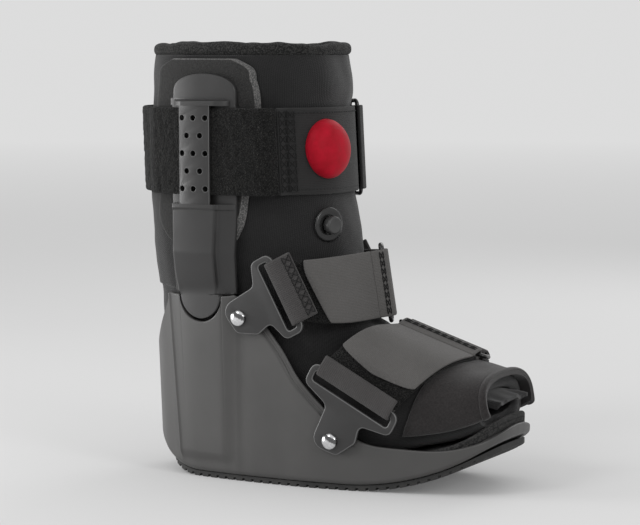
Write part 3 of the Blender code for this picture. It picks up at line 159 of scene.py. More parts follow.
# Plan of the shell, a row for each station from heel to toe: high at the cuff, low at the sole.
# along is a share of SOLE_LENGTH, wide a share of HALF_WIDTH, and rim the share of the way
# from FOREFOOT_HEIGHT to CUFF_HEIGHT.
Plan = namedtuple("Plan", "high_along high_wide low_along low_wide rim")
PLAN = (
    Plan(0.000, 0.000, 0.016, 0.000, 0.512),
    Plan(0.006, 0.210, 0.022, 0.190, 0.531),
    Plan(0.025, 0.430, 0.042, 0.400, 0.609),
    Plan(0.065, 0.670, 0.080, 0.610, 0.760),
    Plan(0.100, 0.810, 0.120, 0.730, 0.905),
    Plan(0.119, 0.860, 0.143, 0.780, 0.990),
    Plan(0.140, 0.885, 0.162, 0.805, 0.990),
    Plan(0.170, 0.920, 0.185, 0.830, 0.983),
    Plan(0.200, 0.945, 0.210, 0.850, 0.985),
    Plan(0.236, 0.965, 0.243, 0.875, 0.986),
    Plan(0.270, 0.980, 0.275, 0.900, 0.990),
    Plan(0.300, 0.990, 0.300, 0.915, 0.995),
    Plan(0.317, 0.985, 0.317, 0.925, 1.000),
    Plan(0.335, 0.970, 0.335, 0.930, 0.965),
    Plan(0.365, 0.973, 0.365, 0.945, 0.885),
    Plan(0.410, 0.980, 0.410, 0.960, 0.766),
    Plan(0.450, 0.985, 0.450, 0.970, 0.624),
    Plan(0.485, 0.990, 0.485, 0.978, 0.473),
    Plan(0.522, 0.990, 0.522, 0.978, 0.360),
    Plan(0.560, 0.985, 0.560, 0.972, 0.258),
    Plan(0.600, 0.978, 0.600, 0.963, 0.148),
    Plan(0.640, 0.965, 0.640, 0.948, 0.062),
    Plan(0.690, 0.945, 0.690, 0.925, 0.016),
    Plan(0.765, 0.910, 0.762, 0.888, 0.003),
    Plan(0.840, 0.880, 0.835, 0.850, 0.000),
    Plan(0.900, 0.845, 0.892, 0.810, 0.018),
    Plan(0.945, 0.770, 0.934, 0.735, 0.049),
    Plan(0.972, 0.640, 0.962, 0.610, 0.079),
    Plan(0.990, 0.445, 0.980, 0.425, 0.112),
    Plan(0.998, 0.225, 0.988, 0.215, 0.140),
    Plan(1.000, 0.000, 0.990, 0.000, 0.150),
)

# Leg of the liner: up is a share of BOOT_HEIGHT, middle and deep shares of LEG_DEPTH,
# wide a share of LEG_WIDTH.
Leg = namedtuple("Leg", "up middle deep wide")
LEG = (
    Leg(0.440, 0.034, 1.000, 0.925),
    Leg(0.454, 0.031, 1.000, 0.933),
    Leg(0.528, 0.017, 1.000, 0.958),
    Leg(0.616, 0.000, 0.978, 0.990),
    Leg(0.658, -0.011, 0.958, 0.996),
    Leg(0.756, -0.017, 0.940, 1.000),
    Leg(0.854, -0.020, 0.927, 1.000),
    Leg(0.882, -0.011, 0.937, 1.000),
    Leg(0.945, -0.014, 0.924, 0.995),
    Leg(0.972, -0.015, 0.906, 0.975),
)

# Foot of the liner, sections that fan out from the leg to the toe. front_along and back_along are
# shares of SOLE_LENGTH, front_up a share of INSTEP_HEIGHT, back_over the share of INSTEP_HEIGHT
# that the back of the section lies over the footbed, wide a share of HALF_WIDTH, square the
# exponent of the section's lower half.
Foot = namedtuple("Foot", "front_along front_up back_along back_over wide square")
FOOT = (
    Foot(0.572, 0.992, 0.0180, 0.760, 0.865, 2.4),
    Foot(0.598, 0.918, 0.0235, 0.560, 0.858, 2.4),
    Foot(0.628, 0.868, 0.0270, 0.340, 0.842, 2.4),
    Foot(0.656, 0.836, 0.0440, 0.135, 0.818, 2.6),
    Foot(0.682, 0.810, 0.1050, 0.002, 0.800, 3.0),
    Foot(0.714, 0.780, 0.2700, 0.000, 0.835, 3.4),
    Foot(0.752, 0.748, 0.4650, 0.000, 0.850, 3.4),
    Foot(0.795, 0.716, 0.6580, 0.000, 0.820, 3.4),
    Foot(0.843, 0.680, 0.8000, 0.000, 0.765, 3.2),
    Foot(0.896, 0.650, 0.8960, 0.000, 0.710, 3.0),
    Foot(0.931, 0.636, 0.9450, 0.000, 0.668, 2.8),
    Foot(0.958, 0.632, 0.9750, 0.000, 0.635, 2.8),
)

# Thickness of the footbed over the shell floor, by share of SOLE_LENGTH.
Bed = namedtuple("Bed", "along thick")
BED = (Bed(0.0, 1.00), Bed(0.60, 1.00), Bed(0.80, 0.98), Bed(0.90, 0.80), Bed(0.95, 0.78), Bed(1.0, 0.95))

# Outline of the strut by height: up is a share of STRUT_TOP, the rest are shares of SLAT_WIDTH from
# the strut's middle line, and body and side are shares of STRUT_BODY.
Strut = namedtuple("Strut", "up rear panel_rear panel_front front body side")
STRUT = (
    Strut(0.455, -0.98, -0.81, 0.24, 0.76, 0.66, 0.45),
    Strut(0.515, -0.94, -0.80, 0.29, 0.80, 0.78, 0.50),
    Strut(0.571, -0.90, -0.76, 0.34, 0.84, 0.86, 0.55),
    Strut(0.620, -0.86, -0.73, 0.40, 0.88, 0.95, 0.60),
    Strut(0.670, -0.83, -0.70, 0.45, 0.91, 1.00, 0.62),
)

# Stations across the strut's thin plate and its ledge, as shares of SLAT_WIDTH, and the exponent of the
# paddle's rounded end.
PADDLE = (-0.80, -0.5, 0.0, 0.5, 0.90)
LEDGE = (-0.88, -0.77, 0.0, 0.70, 0.90)
PADDLE_ROUND = 2.6

# Shield outline of the pad by height: up is the share from PAD_BOTTOM to PAD_TOP, rear and front are
# shares of LEG_DEPTH from the strut's middle line.
Pad = namedtuple("Pad", "up rear front")
PAD = (
    Pad(0.00, -0.120, 0.095),
    Pad(0.03, -0.185, 0.140),
    Pad(0.08, -0.225, 0.170),
    Pad(0.30, -0.245, 0.215),
    Pad(0.60, -0.255, 0.255),
    Pad(0.88, -0.245, 0.250),
    Pad(0.96, -0.225, 0.220),
    Pad(1.00, -0.160, 0.150),
)


# Curves through tables

def column(table, name):
    return np.array([getattr(row, name) for row in table], float)


def hermite(places, values, at):
    """Smooth curve through the values at their places, with slopes from the neighbours."""
    places = np.asarray(places, float)
    values = np.asarray(values, float)
    at = np.clip(np.asarray(at, float), places[0], places[-1])
    slopes = np.gradient(values, places)
    index = np.clip(np.searchsorted(places, at, side="right") - 1, 0, len(places) - 2)
    step = places[index + 1] - places[index]
    t = (at - places[index]) / step
    return (
        values[index] * (1 + 2 * t) * (1 - t) ** 2
        + slopes[index] * step * t * (1 - t) ** 2
        + values[index + 1] * t * t * (3 - 2 * t)
        + slopes[index + 1] * step * t * t * (t - 1)
    )


def smoothstep(low, high, at):
    t = np.clip((np.asarray(at, float) - low) / (high - low), 0, 1)
    return t * t * (3 - 2 * t)


def offset_curve(x, z, distance):
    """The curve moved to its left by a distance, seen along its direction in the XZ plane."""
    along_x, along_z = np.gradient(x), np.gradient(z)
    length = np.hypot(along_x, along_z)
    return x - distance * along_z / length, z + distance * along_x / length


def unit(vector):
    vector = np.asarray(vector, float)
    return vector / np.linalg.norm(vector, axis=-1, keepdims=True)


def power(value, exponent):
    return np.sign(value) * np.abs(value) ** exponent


# Sole, shell and footbed, as in the part

def sole_height(x):
    """Height of the tread's underside: flat, then an arc up to the toe and one up to the heel."""
    toe = np.clip(np.asarray(x, float) - TOE_ROCKER_START, 0, 0.95 * TOE_ROCKER_RADIUS)
    heel = np.clip(HEEL_ROCKER_START - np.asarray(x, float), 0, 0.95 * HEEL_ROCKER_RADIUS)
    toe_rise = TOE_ROCKER_RADIUS - np.sqrt(TOE_ROCKER_RADIUS**2 - toe**2)
    return toe_rise + HEEL_ROCKER_RADIUS - np.sqrt(HEEL_ROCKER_RADIUS**2 - heel**2)


def plan_row(name, at):
    """A column of the plan at fractional rows."""
    return hermite(np.arange(len(PLAN)), column(PLAN, name), at)


def both_sides(x, y, z):
    """One ring from the lateral half of an outline: heel, outer side, toe, inner side."""
    x, y, z = (np.asarray(v, float) for v in np.broadcast_arrays(x, y, z))
    lateral = np.stack([x, -y, z], axis=-1)
    medial = np.stack([x, y, z], axis=-1)[1:-1][::-1]
    return np.concatenate([lateral, medial])


def inset(x, y, distance):
    """The half outline moved inwards by a distance."""
    full_x = np.concatenate([[x[1]], x, [x[-2]]])
    full_y = np.concatenate([[-y[1]], y, [-y[-2]]])
    along_x, along_y = np.gradient(full_x)[1:-1], np.gradient(full_y)[1:-1]
    length = np.hypot(along_x, along_y)
    inner_y = y - distance * along_x / length
    inner_y[[0, -1]] = 0
    return x + distance * along_y / length, inner_y


def wall_plan(rows, height):
    """Half outline of the shell's outer wall at a height."""
    share = np.clip(height / CUFF_HEIGHT, 0, 1.1)
    along = plan_row("low_along", rows) * (1 - share) + plan_row("high_along", rows) * share
    wide = plan_row("low_wide", rows) * (1 - share) + plan_row("high_wide", rows) * share
    return HEEL_X + along * SOLE_LENGTH, wide * HALF_WIDTH


def wall_side(x, height):
    """Half width of the shell's outer wall at a place along the foot and a height."""
    rows = np.linspace(0, len(PLAN) - 1, 241)
    x, height = (np.asarray(v, float) for v in np.broadcast_arrays(x, height))
    low_x, low_y = wall_plan(rows, 0.0)
    high_x, high_y = wall_plan(rows, CUFF_HEIGHT)
    share = height / CUFF_HEIGHT
    return np.interp(x, low_x, low_y) * (1 - share) + np.interp(x, high_x, high_y) * share


def notch(x):
    """How far the rim dips for the strut's rounded foot."""
    share = np.clip(np.abs(x - NOTCH_X) / (NOTCH_WIDTH / 2), 0, 1)
    return NOTCH_DEPTH * np.sqrt(1 - share**2)


def rim_height(rows, dip=True):
    x = wall_plan(rows, CUFF_HEIGHT)[0]
    rim = FOREFOOT_HEIGHT + plan_row("rim", rows) * (CUFF_HEIGHT - FOREFOOT_HEIGHT)
    return rim - notch(x) if dip else rim


def corner_radius(rows):
    """Round of the lower edge, larger at the heel."""
    along = plan_row("high_along", rows)
    heel = 1 - smoothstep(0.02, 0.16, along)
    return SOLE_CORNER + (HEEL_CORNER - SOLE_CORNER) * heel


def lip_share(rows):
    """Where the recessed front lip runs: 1 along the sloping front edge, 0 elsewhere."""
    along = plan_row("high_along", rows)
    return smoothstep(0.33, 0.38, along) * (1 - smoothstep(0.60, 0.66, along))


def bed_top(x):
    """Height of the footbed's upper face."""
    along = (np.asarray(x, float) - HEEL_X) / SOLE_LENGTH
    thick = hermite(column(BED, "along"), column(BED, "thick"), along) * FOOTBED_THICKNESS
    return sole_height(x) + FLOOR_RISE + BED_CLEARANCE + thick


# Liner, as in the part

def leg_size(z):
    """Middle, half depth and half width of the leg at a height."""
    up = column(LEG, "up") * BOOT_HEIGHT
    middle = LEG_X + hermite(up, column(LEG, "middle"), z) * LEG_DEPTH
    deep = hermite(up, column(LEG, "deep"), z) * LEG_DEPTH / 2
    return middle, deep, hermite(up, column(LEG, "wide"), z) * LEG_WIDTH / 2


def leg_point(turn, z, out):
    """Point on the leg: turn is 0 at the outer side, a quarter at the front; out is off its surface."""
    turn, z, out = (np.asarray(v, float) for v in np.broadcast_arrays(turn, z, out))
    middle, deep, wide = leg_size(z)
    x = middle + (deep + out) * power(np.sin(turn), 2 / LEG_ROUND)
    y = -(wide + out) * power(np.cos(turn), 2 / LEG_ROUND)
    return np.stack([x, y, z], axis=-1)


def leg_turn(x, z):
    """The turn at which the leg's outer side has a given x."""
    middle, deep, _ = leg_size(z)
    share = np.clip((x - middle) / deep, -0.98, 0.98)
    return np.arcsin(power(share, LEG_ROUND / 2))


def leg_side(x, z):
    """Half width of the leg at a place along the foot and a height."""
    middle, deep, wide = leg_size(z)
    share = np.clip(np.abs(x - middle) / deep, 0, 0.98)
    return wide * (1 - share**LEG_ROUND) ** (1 / LEG_ROUND)


def foot_sections(out):
    """Front and back points, half width and lower exponent of the fanned sections, off the surface."""
    start = LEG[0].up * BOOT_HEIGHT
    middle, deep, wide = leg_size(start)
    front_x = np.concatenate([[middle + deep], HEEL_X + column(FOOT, "front_along") * SOLE_LENGTH])
    front_z = np.concatenate([[start], column(FOOT, "front_up") * INSTEP_HEIGHT])
    back_x = np.concatenate([[middle - deep], HEEL_X + column(FOOT, "back_along") * SOLE_LENGTH])
    back_z = bed_top(back_x) + GAP + np.concatenate([[0], column(FOOT, "back_over") * INSTEP_HEIGHT])
    back_z[0] = start
    half = np.concatenate([[wide], column(FOOT, "wide") * HALF_WIDTH])
    square = np.concatenate([[LEG_ROUND], column(FOOT, "square")])
    front_x, front_z = offset_curve(front_x, front_z, out)
    back_x, back_z = offset_curve(back_x, back_z, -out)
    return front_x, front_z, back_x, back_z, half + out, square


def foot_point(row, turn, out):
    """Point on the foot of the liner at a fractional section."""
    row, turn = (np.asarray(v, float) for v in np.broadcast_arrays(row, turn))
    places = np.arange(len(FOOT) + 1)
    front_x, front_z, back_x, back_z, half, square = (
        hermite(places, values, row) for values in foot_sections(out)
    )
    back_z = np.maximum(back_z, bed_top(back_x) + BED_CLEARANCE + max(-out, 0.0))
    exponent = 2 / np.where(np.sin(turn) >= 0, LEG_ROUND, square)
    reach = power(np.sin(turn), exponent)
    side = -half * power(np.cos(turn), exponent)
    x = (front_x + back_x) / 2 + reach * (front_x - back_x) / 2
    z = (front_z + back_z) / 2 + reach * (front_z - back_z) / 2
    return np.stack([x, side, z], axis=-1)


def full_turn(count):
    return np.arange(count) * 2 * math.pi / count


def turns(count):
    return full_turn(count) - math.pi / 2


# Struts, plates and straps, as in the part

def strut_inner(x, z):
    """Off the leg, how far the strut's inner face lies: over the pad at the top, on the liner below."""
    over_pad = np.clip((z - CUFF_HEIGHT) / (PAD_BOTTOM - 2 * STRUT_STEP - CUFF_HEIGHT), 0, 1)
    return leg_side(x, z) + 2 * GAP + over_pad * (PAD_THICKNESS + PAD_CLEARANCE)


def tunnel_depth():
    """From the strut's inner face to the inner face of the slat: back plate, strap and clearances."""
    return STRUT_BACK_PLATE + CALF_STRAP_THICKNESS + 5 * GAP


def strut_window():
    """Lower and upper end of the gap that the calf strap passes through."""
    half = CALF_STRAP_WIDTH / 2
    return CALF_STRAP_HEIGHT - half - WINDOW_BELOW, CALF_STRAP_HEIGHT + half + WINDOW_ABOVE


def mirrored_turn(turn, side):
    return turn if side < 0 else math.pi - turn


def filleted(corners, segments=4):
    """Closed outline from corners with radii, each turned into an arc."""
    points = []
    for k, (x, y, radius) in enumerate(corners):
        here = np.array([x, y])
        before = unit(np.array(corners[k - 1][:2]) - here)
        after = unit(np.array(corners[(k + 1) % len(corners)][:2]) - here)
        half = math.acos(np.clip(before @ after, -1, 1)) / 2
        reach = radius / math.tan(half)
        centre = here + unit(before + after) * radius / math.sin(half)
        start, end = here + before * reach - centre, here + after * reach - centre
        first = math.atan2(start[1], start[0])
        sweep = (math.atan2(end[1], end[0]) - first + math.pi) % (2 * math.pi) - math.pi
        for i in range(segments + 1):
            angle = first + sweep * i / segments
            points.append(centre + radius * np.array([math.cos(angle), math.sin(angle)]))
    return np.array(points)


def rounded_box(low, high, radius, segments=4):
    """Outline of a rectangle with rounded corners, from its lower corner to its upper one."""
    (x0, y0), (x1, y1) = low, high
    return filleted(((x0, y0, radius), (x1, y0, radius), (x1, y1, radius), (x0, y1, radius)), segments)


def circle(centre, radius, sides):
    around = full_turn(sides)
    return np.asarray(centre) + radius * np.stack([np.cos(around), np.sin(around)], axis=-1)


def plate_outlines(strap_width):
    """Outline, slot and rivet hole of a strap plate, rivet at the origin and slot across +Y."""
    slot = strap_width / 2 + 0.0015
    bar = slot + PLATE_RIM
    top = PLATE_REACH + SLOT_WIDTH / 2 + PLATE_RIM
    low = PLATE_REACH - SLOT_WIDTH / 2 - 0.9 * PLATE_RIM
    neck = 0.6 * PLATE_REACH
    lobe = 1.2 * RIVET_HEAD
    outline = filleted((
        (-bar, top, 1.3 * PLATE_RIM), (-bar, low, 1.2 * PLATE_RIM), (-lobe, neck, 1.1 * PLATE_RIM),
        (-0.88 * lobe, -0.70 * lobe, 1.85 * PLATE_RIM), (0.63 * lobe, -0.45 * lobe, 1.3 * PLATE_RIM),
        (1.2 * lobe, 0.6 * lobe, 1.1 * PLATE_RIM), (lobe, neck, 0.9 * PLATE_RIM),
        (bar, low, 1.2 * PLATE_RIM), (bar, top, 1.3 * PLATE_RIM),
    ))
    half = SLOT_WIDTH / 2
    window = rounded_box((-slot, PLATE_REACH - half), (slot, PLATE_REACH + half), SLOT_CORNER, 3)
    return outline, window, circle((0.0, 0.0), RIVET_SHANK / 2 + GAP, 10)


Plate = namedtuple("Plate", "along up angle strap")
PLATES = {
    "ankle": Plate(0.3346, 0.8843, 28.4, ANKLE_STRAP_WIDTH),
    "toe": Plate(0.5850, 1.117, 61.9, TOE_STRAP_WIDTH),
}


def plate_frame(kind, side):
    """Rivet point, directions across and towards the slot, and outward, of a plate."""
    row = PLATES[kind]
    x = HEEL_X + row.along * SOLE_LENGTH
    z = row.up * (CUFF_HEIGHT if kind == "ankle" else FOREFOOT_HEIGHT)
    angle = math.radians(row.angle)
    across = np.array([math.sin(angle), 0, -math.cos(angle)])
    toward = np.array([math.cos(angle), 0, math.sin(angle)])
    near = x + np.linspace(-1.5, 3.0, 8) * RIVET_HEAD
    seat = max(wall_side(near, np.full(8, z)).max(), wall_side(near, np.full(8, z * 1.15)).max())
    middle = seat + GAP + PLATE_THICKNESS / 2
    return np.array([x, side * middle, z]), across, toward, np.array([0, side, 0])


def hook(bar, away, out, half, thick, strap):
    """Middle line of a strap that comes in under a bar, goes round it and ends on its own top."""
    gap = GAP + 0.0002
    q = gap + strap / 2
    high = half[1] + q
    end = -high + strap + 2 * GAP
    steps = [
        (half[0], -high), (-half[0], -high),
        (-half[0] - 0.7 * q, -half[1] - 0.7 * q), (-half[0] - q, -half[1]),
        (-half[0] - q, half[1]), (-half[0] - 0.7 * q, half[1] + 0.7 * q),
        (-half[0], high), (half[0], high),
        (half[0] + 0.0060, (high + end) / 2), (half[0] + thick, end),
    ]
    return np.array([bar + m * away + h * out for m, h in steps])


def bezier(start, start_handle, end_handle, end, at):
    at = np.asarray(at, float)[:, None]
    return (
        (1 - at) ** 3 * start + 3 * (1 - at) ** 2 * at * start_handle
        + 3 * (1 - at) * at**2 * end_handle + at**3 * end
    )


# Rings over the ankle and the toes: along, side and up place the outer bar as shares of SOLE_LENGTH,
# HALF_WIDTH and INSTEP_HEIGHT. bar is the bars' direction, way leads from the outer bar to the inner one,
# and arrive is the strap's direction at the outer bar. plate_pull and ring_pull are the lengths of the
# strap's curve handles as shares of its reach, and sag is how far it turns down where it leaves its plate.
Ring = namedtuple("Ring", "along side up bar way arrive plate_pull ring_pull sag")
RINGS = {
    "ankle": Ring(
        0.634, -0.03, 1.134, (0.16, 0.0, -0.99), (-0.36, 0.93, 0.0), (0.30, 0.95, 0.0),
        plate_pull=0.36, ring_pull=0.50, sag=0.55,
    ),
    "toe": Ring(
        0.765, 0.20, 0.8160, (0.95, 0.0, -0.32), (0.0, 0.98, -0.19), (0.05, 0.99, -0.05),
        plate_pull=0.50, ring_pull=0.50, sag=0.15,
    ),
}


def square_to(vector, axis):
    """The part of a vector that is square to an axis, at unit length."""
    vector, axis = np.asarray(vector, float), unit(axis)
    return unit(vector - axis * (vector @ axis))


def strap_route(kind, side, bar, arrive, ring_bar):
    """Middle line and width vectors of a strap from its plate to a ring's bar, and its free stretch."""
    plate, ring = PLATES[kind], RINGS[kind]
    rivet, across, toward, outward = plate_frame(kind, side)
    bar_at = rivet + toward * (PLATE_REACH + SLOT_WIDTH / 2 + PLATE_RIM / 2)
    half_bar = (PLATE_RIM / 2, PLATE_THICKNESS / 2)
    start_hook = hook(bar_at, toward, outward, half_bar, PLATE_FOLD, STRAP_THICKNESS)[::-1]
    arrive = square_to(arrive, ring_bar)
    out = unit(np.cross(ring_bar, arrive)) * -side
    end_hook = hook(bar, -arrive, out, (RING_WIRE / 2, RING_WIRE / 2), RING_FOLD, STRAP_THICKNESS)
    reach = np.linalg.norm(bar - bar_at)
    lean = unit(toward + np.array([0.15, -0.25 * side, -ring.sag]))
    handle = start_hook[-1] + lean * reach * ring.plate_pull
    back = end_hook[0] - arrive * reach * ring.ring_pull
    at = np.linspace(0, 1, 12)[1:-1]
    free = bezier(start_hook[-1], handle, back, end_hook[0], at)
    line = np.concatenate([start_hook, free, end_hook])
    share = np.concatenate([np.zeros(len(start_hook)), smoothstep(0, 1, at), np.ones(len(end_hook))])
    width = unit(across * (1 - share)[:, None] + ring_bar * share[:, None]) * plate.strap / 2
    return line, width, slice(len(start_hook) - 1, len(start_hook) + len(free) + 1), out


# Loose ends: length as a share of the strap's free stretch, where the lower and upper edges of the end
# start to curve, as shares of the tab's length, and where they meet, as a share of the strap's half width.
Tab = namedtuple("Tab", "length low high meet")
TABS = {"ankle": Tab(0.79, 0.94, 0.92, -0.55), "toe": Tab(0.86, 0.90, 0.90, 0.0)}


def tab_edges(kind, share):
    """Lower and upper edge of a loose end, as shares of the half width."""
    tab = TABS[kind]
    low = np.clip((share - tab.low) / (1 - tab.low), 0, 1) ** 2
    high = np.clip((share - tab.high) / (1 - tab.high), 0, 1) ** 2
    reach = 0.96
    return -1 + low * (1 + tab.meet) * reach, 1 - high * (1 - tab.meet) * reach


def calf_out(turn):
    """How far the calf strap's inner face lies off the leg: out over pads and struts, on the liner else."""
    from_side = np.degrees(np.arcsin(np.clip(np.abs(np.sin(turn)), 0, 1)))
    over = 1 - smoothstep(24, 44, from_side)
    return STRAP_CLEARANCE + over * (PAD_THICKNESS + PAD_CLEARANCE + STRUT_BACK_PLATE + 2 * GAP)


def calf_edge(turn, out, way):
    """Point over the upper or lower edge of the band round the leg, which stands off at its upper rear."""
    z = CALF_STRAP_HEIGHT + way * CALF_STRAP_WIDTH / 2
    rear = REAR_STAND * smoothstep(0.3, 1.0, -np.sin(turn)) * (1 + way) / 2
    return leg_point(turn, z, out + rear)


def calf_point(turn, out, z=CALF_STRAP_HEIGHT):
    """Point of the band round the leg, straight from its lower edge to its upper one."""
    share = (np.asarray(z, float)[..., None] - CALF_STRAP_HEIGHT) / CALF_STRAP_WIDTH + 0.5
    low, high = calf_edge(turn, out, -1), calf_edge(turn, out, 1)
    return low + (high - low) * share


def calf_across(turn):
    """Half of the band's width, as a vector that leans with the leg."""
    return (calf_edge(turn, 0.0, 1) - calf_edge(turn, 0.0, -1)) / 2


def turn_per_metre(turn):
    ends = calf_point(np.array([turn - 0.05, turn + 0.05]), RING_STAND)
    return 0.1 / np.linalg.norm(ends[1] - ends[0])


def leg_frame(turn, z):
    """Point and outward direction on the leg."""
    side = unit(leg_point(turn + 0.01, z, 0.0) - leg_point(turn - 0.01, z, 0.0))
    return leg_point(turn, z, 0.0), unit(np.cross(side, (0.0, 0.0, 1.0)))


# Rings of the bulb from its foot up: radius as a share of half BULB_DIAMETER, rise of BULB_DOME.
Dome = namedtuple("Dome", "radius rise")
DOME = (
    Dome(0.05, 0.0), Dome(0.60, 0.0), Dome(0.97, 0.0), Dome(1.0, 0.10), Dome(0.97, 0.34), Dome(0.82, 0.70),
    Dome(0.52, 0.92), Dome(0.05, 1.0),
)


# Meshes

def ring_quads(rows, count, loop=False):
    """Numbers of the rows and of a ring's points, and the corners of the quads between the rings."""
    i = np.arange(rows if loop else rows - 1)[:, None]
    j = np.arange(count)[None, :]
    here, there = i % rows * count, (i + 1) % rows * count
    corners = (here + j, here + (j + 1) % count, there + (j + 1) % count, there + j)
    return i, j, np.stack(np.broadcast_arrays(*corners), axis=-1).reshape(-1, 4)


def cap_faces(count, style):
    """Quads and triangles that close a ring of so many points: strips between the two sides of a wall's ring
    or of a mirrored one, or a fan round a middle point, which then has the number count."""
    if style == "fan":
        i = np.arange(count)
        return np.zeros((0, 4), int), np.stack([i, (i + 1) % count, np.full(count, count)], axis=-1)
    if style == "wall":
        i = np.arange(count // 2 - 1)
        return np.stack([i, i + 1, count - 2 - i, count - 1 - i], axis=-1), np.zeros((0, 3), int)
    half = count // 2
    i = np.arange(1, half - 1)
    ends = np.array([[0, 1, count - 1], [half - 1, half, half + 1]])
    return np.stack([i, i + 1, count - i - 1, count - i], axis=-1), ends


def six_volumes(points, faces):
    """Six times the volume that the faces, fanned from their first corners, enclose with the middle."""
    spots = points - points.mean(axis=0)
    total = 0.0
    for k in range(1, faces.shape[1] - 1):
        a, b, c = spots[faces[:, 0]], spots[faces[:, k]], spots[faces[:, k + 1]]
        total += (a * np.cross(b, c)).sum()
    return total


def skin(name, rings, loop=False, caps="fan", crease=None):
    """Skin over a row of closed rings, with each ring's own length and the way along the row as its UV, in
    metres. It closes at both ends, or into itself, and always faces out."""
    rings = np.asarray(rings, float)
    rows, count = rings.shape[:2]
    points = rings.reshape(-1, 3)
    i, j, quads = ring_quads(rows, count, loop)
    steps = np.linalg.norm(np.roll(rings, -1, axis=1) - rings, axis=-1)
    around = np.concatenate([np.zeros((rows, 1)), np.cumsum(steps, axis=1)], axis=1)
    around = np.concatenate([around, around[:1]])
    moves = np.linalg.norm(np.roll(rings, -1, axis=0) - rings, axis=-1)
    along = np.concatenate([np.zeros((1, count)), np.cumsum(moves, axis=0)])
    along = np.concatenate([along, along[:, :1]], axis=1)
    uv = np.stack([around, along], axis=-1)
    quad_uv = [np.stack([uv[i, j], uv[i, j + 1], uv[i + 1, j + 1], uv[i + 1, j]], axis=-2).reshape(-1, 2)]
    triangles, triangle_uv = [np.zeros((0, 3), int)], [np.zeros((0, 2))]
    for row, back in (() if loop else ((0, True), (rows - 1, False))):
        four, three = cap_faces(count, caps)
        if back:
            four, three = four[:, ::-1], three[:, ::-1]
        places = np.concatenate([uv[row, :count], uv[row, :count].mean(axis=0)[None]])
        index = np.append(np.arange(row * count, (row + 1) * count), len(points))
        if caps == "fan":
            points = np.concatenate([points, rings[row].mean(axis=0)[None]])
        quads = np.concatenate([quads, index[four]])
        quad_uv.append(places[four].reshape(-1, 2))
        triangles.append(index[three])
        triangle_uv.append(places[three].reshape(-1, 2))
    triangles = np.concatenate(triangles)
    mesh = bpy.data.meshes.new(name)
    mesh.from_pydata(points.tolist(), [], quads.tolist() + triangles.tolist())
    flat = np.concatenate(quad_uv + triangle_uv)
    mesh.uv_layers.new(name="UVMap").data.foreach_set("uv", flat.ravel())
    if six_volumes(points, quads) + six_volumes(points, triangles) < 0:
        mesh.flip_normals()
    mesh.shade_smooth()
    if crease is not None:
        mesh.set_sharp_from_angle(angle=math.radians(crease))
    return mesh


def add_piece(mesh, finish, replaced=(), body="boot"):
    """A finished piece: its material, the body it rides on and the nodes it stands for."""
    mesh.materials.append(FINISHES[finish])
    item = bpy.data.objects.new(mesh.name, mesh)
    bpy.context.scene.collection.objects.link(item)
    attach(item, body)
    if replaced:
        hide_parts(*replaced)
    return item


def mark(mesh, name, values):
    """A number for each point that a material reads."""
    layer = mesh.attributes.new(name, "FLOAT", "POINT")
    full = np.zeros(len(mesh.vertices))
    values = np.asarray(values, float).ravel()
    full[:len(values)] = values
    layer.data.foreach_set("value", full)


def ripple(points, size, seed, waves=9):
    """Smooth uneven field from about -1 to 1: sine waves of about one length in scattered directions."""
    scatter = np.random.default_rng(seed)
    ways = unit(scatter.normal(size=(waves, 3))) / (size * scatter.uniform(0.7, 1.5, (waves, 1)))
    return np.sin(points @ ways.T * 2 * math.pi + scatter.uniform(0, 6.28, waves)).mean(axis=-1) * 2.0


def normals(rings):
    """Outward direction at each point of a row of rings: square to both ways of the grid."""
    around = np.roll(rings, -1, axis=1) - np.roll(rings, 1, axis=1)
    along = np.gradient(rings, axis=0)
    normal = unit(np.cross(around, along) + 1e-15)
    away = rings - rings.mean(axis=1, keepdims=True)
    return normal * np.sign((normal * away).sum())


def path_length(line):
    return float(np.linalg.norm(np.diff(line, axis=0), axis=1).sum())


def lengths(line):
    """The length along a line at each of its points."""
    return np.concatenate([[0], np.cumsum(np.linalg.norm(np.diff(line, axis=0), axis=1))])


def linear(places, values, at):
    return np.interp(at, places, values)


def read_off(curve, places, table, at):
    """Each column of a table of points as a curve over its places, at other places."""
    return np.stack([curve(places, table[:, k], at) for k in range(table.shape[1])], axis=-1)


# Places of the first rings of a strap, as shares of its half thickness.
BAND_TIP = (0.0, 0.06, 0.2, 0.45, 0.75, 1.0)


def section(stations):
    """Closed section of a strap: two flats joined by half circles. Gives the share across, the reach of the
    round edge and the rise, each from -1 to 1."""
    flat = np.linspace(-1, 1, stations)
    arc = np.radians([30, 60, 90, 120, 150])
    share = np.concatenate([flat, np.ones(5), flat[::-1], -np.ones(5)])
    reach = np.concatenate([np.zeros(stations), np.sin(arc), np.zeros(stations), -np.sin(arc)])
    rise = np.concatenate([np.ones(stations), np.cos(arc), -np.ones(stations), -np.cos(arc)])
    return share, reach, rise


def band_rings(line, width, thick, low, high, stations=20, lift=None):
    """Rings of a flat strap: the section carried along a line between a lower and an upper edge, its ends
    rounded off. lift adds to the rise by the share across and the length along."""
    share, reach, rise = section(stations)
    length = lengths(line)
    near = np.minimum(length, length[-1] - length)
    radius = thick / 2
    fade = np.sqrt(np.clip(1 - (1 - np.clip(near / radius, 0, 1)) ** 2, 0.02, 1))[:, None]
    along = unit(np.gradient(line, axis=0))
    half = np.linalg.norm(width, axis=1)[:, None]
    across = width / half
    face = unit(np.cross(along, across))
    middle, span = half * ((low + high) / 2)[:, None], half * ((high - low) / 2)[:, None]
    sideways = middle + share * (span - radius) + reach * radius * fade
    up = rise * radius * fade
    if lift is not None:
        up = up + np.sign(rise) * lift(share[None, :], length[:, None]) * fade
    return line[:, None] + sideways[..., None] * across[:, None] + up[..., None] * face[:, None]


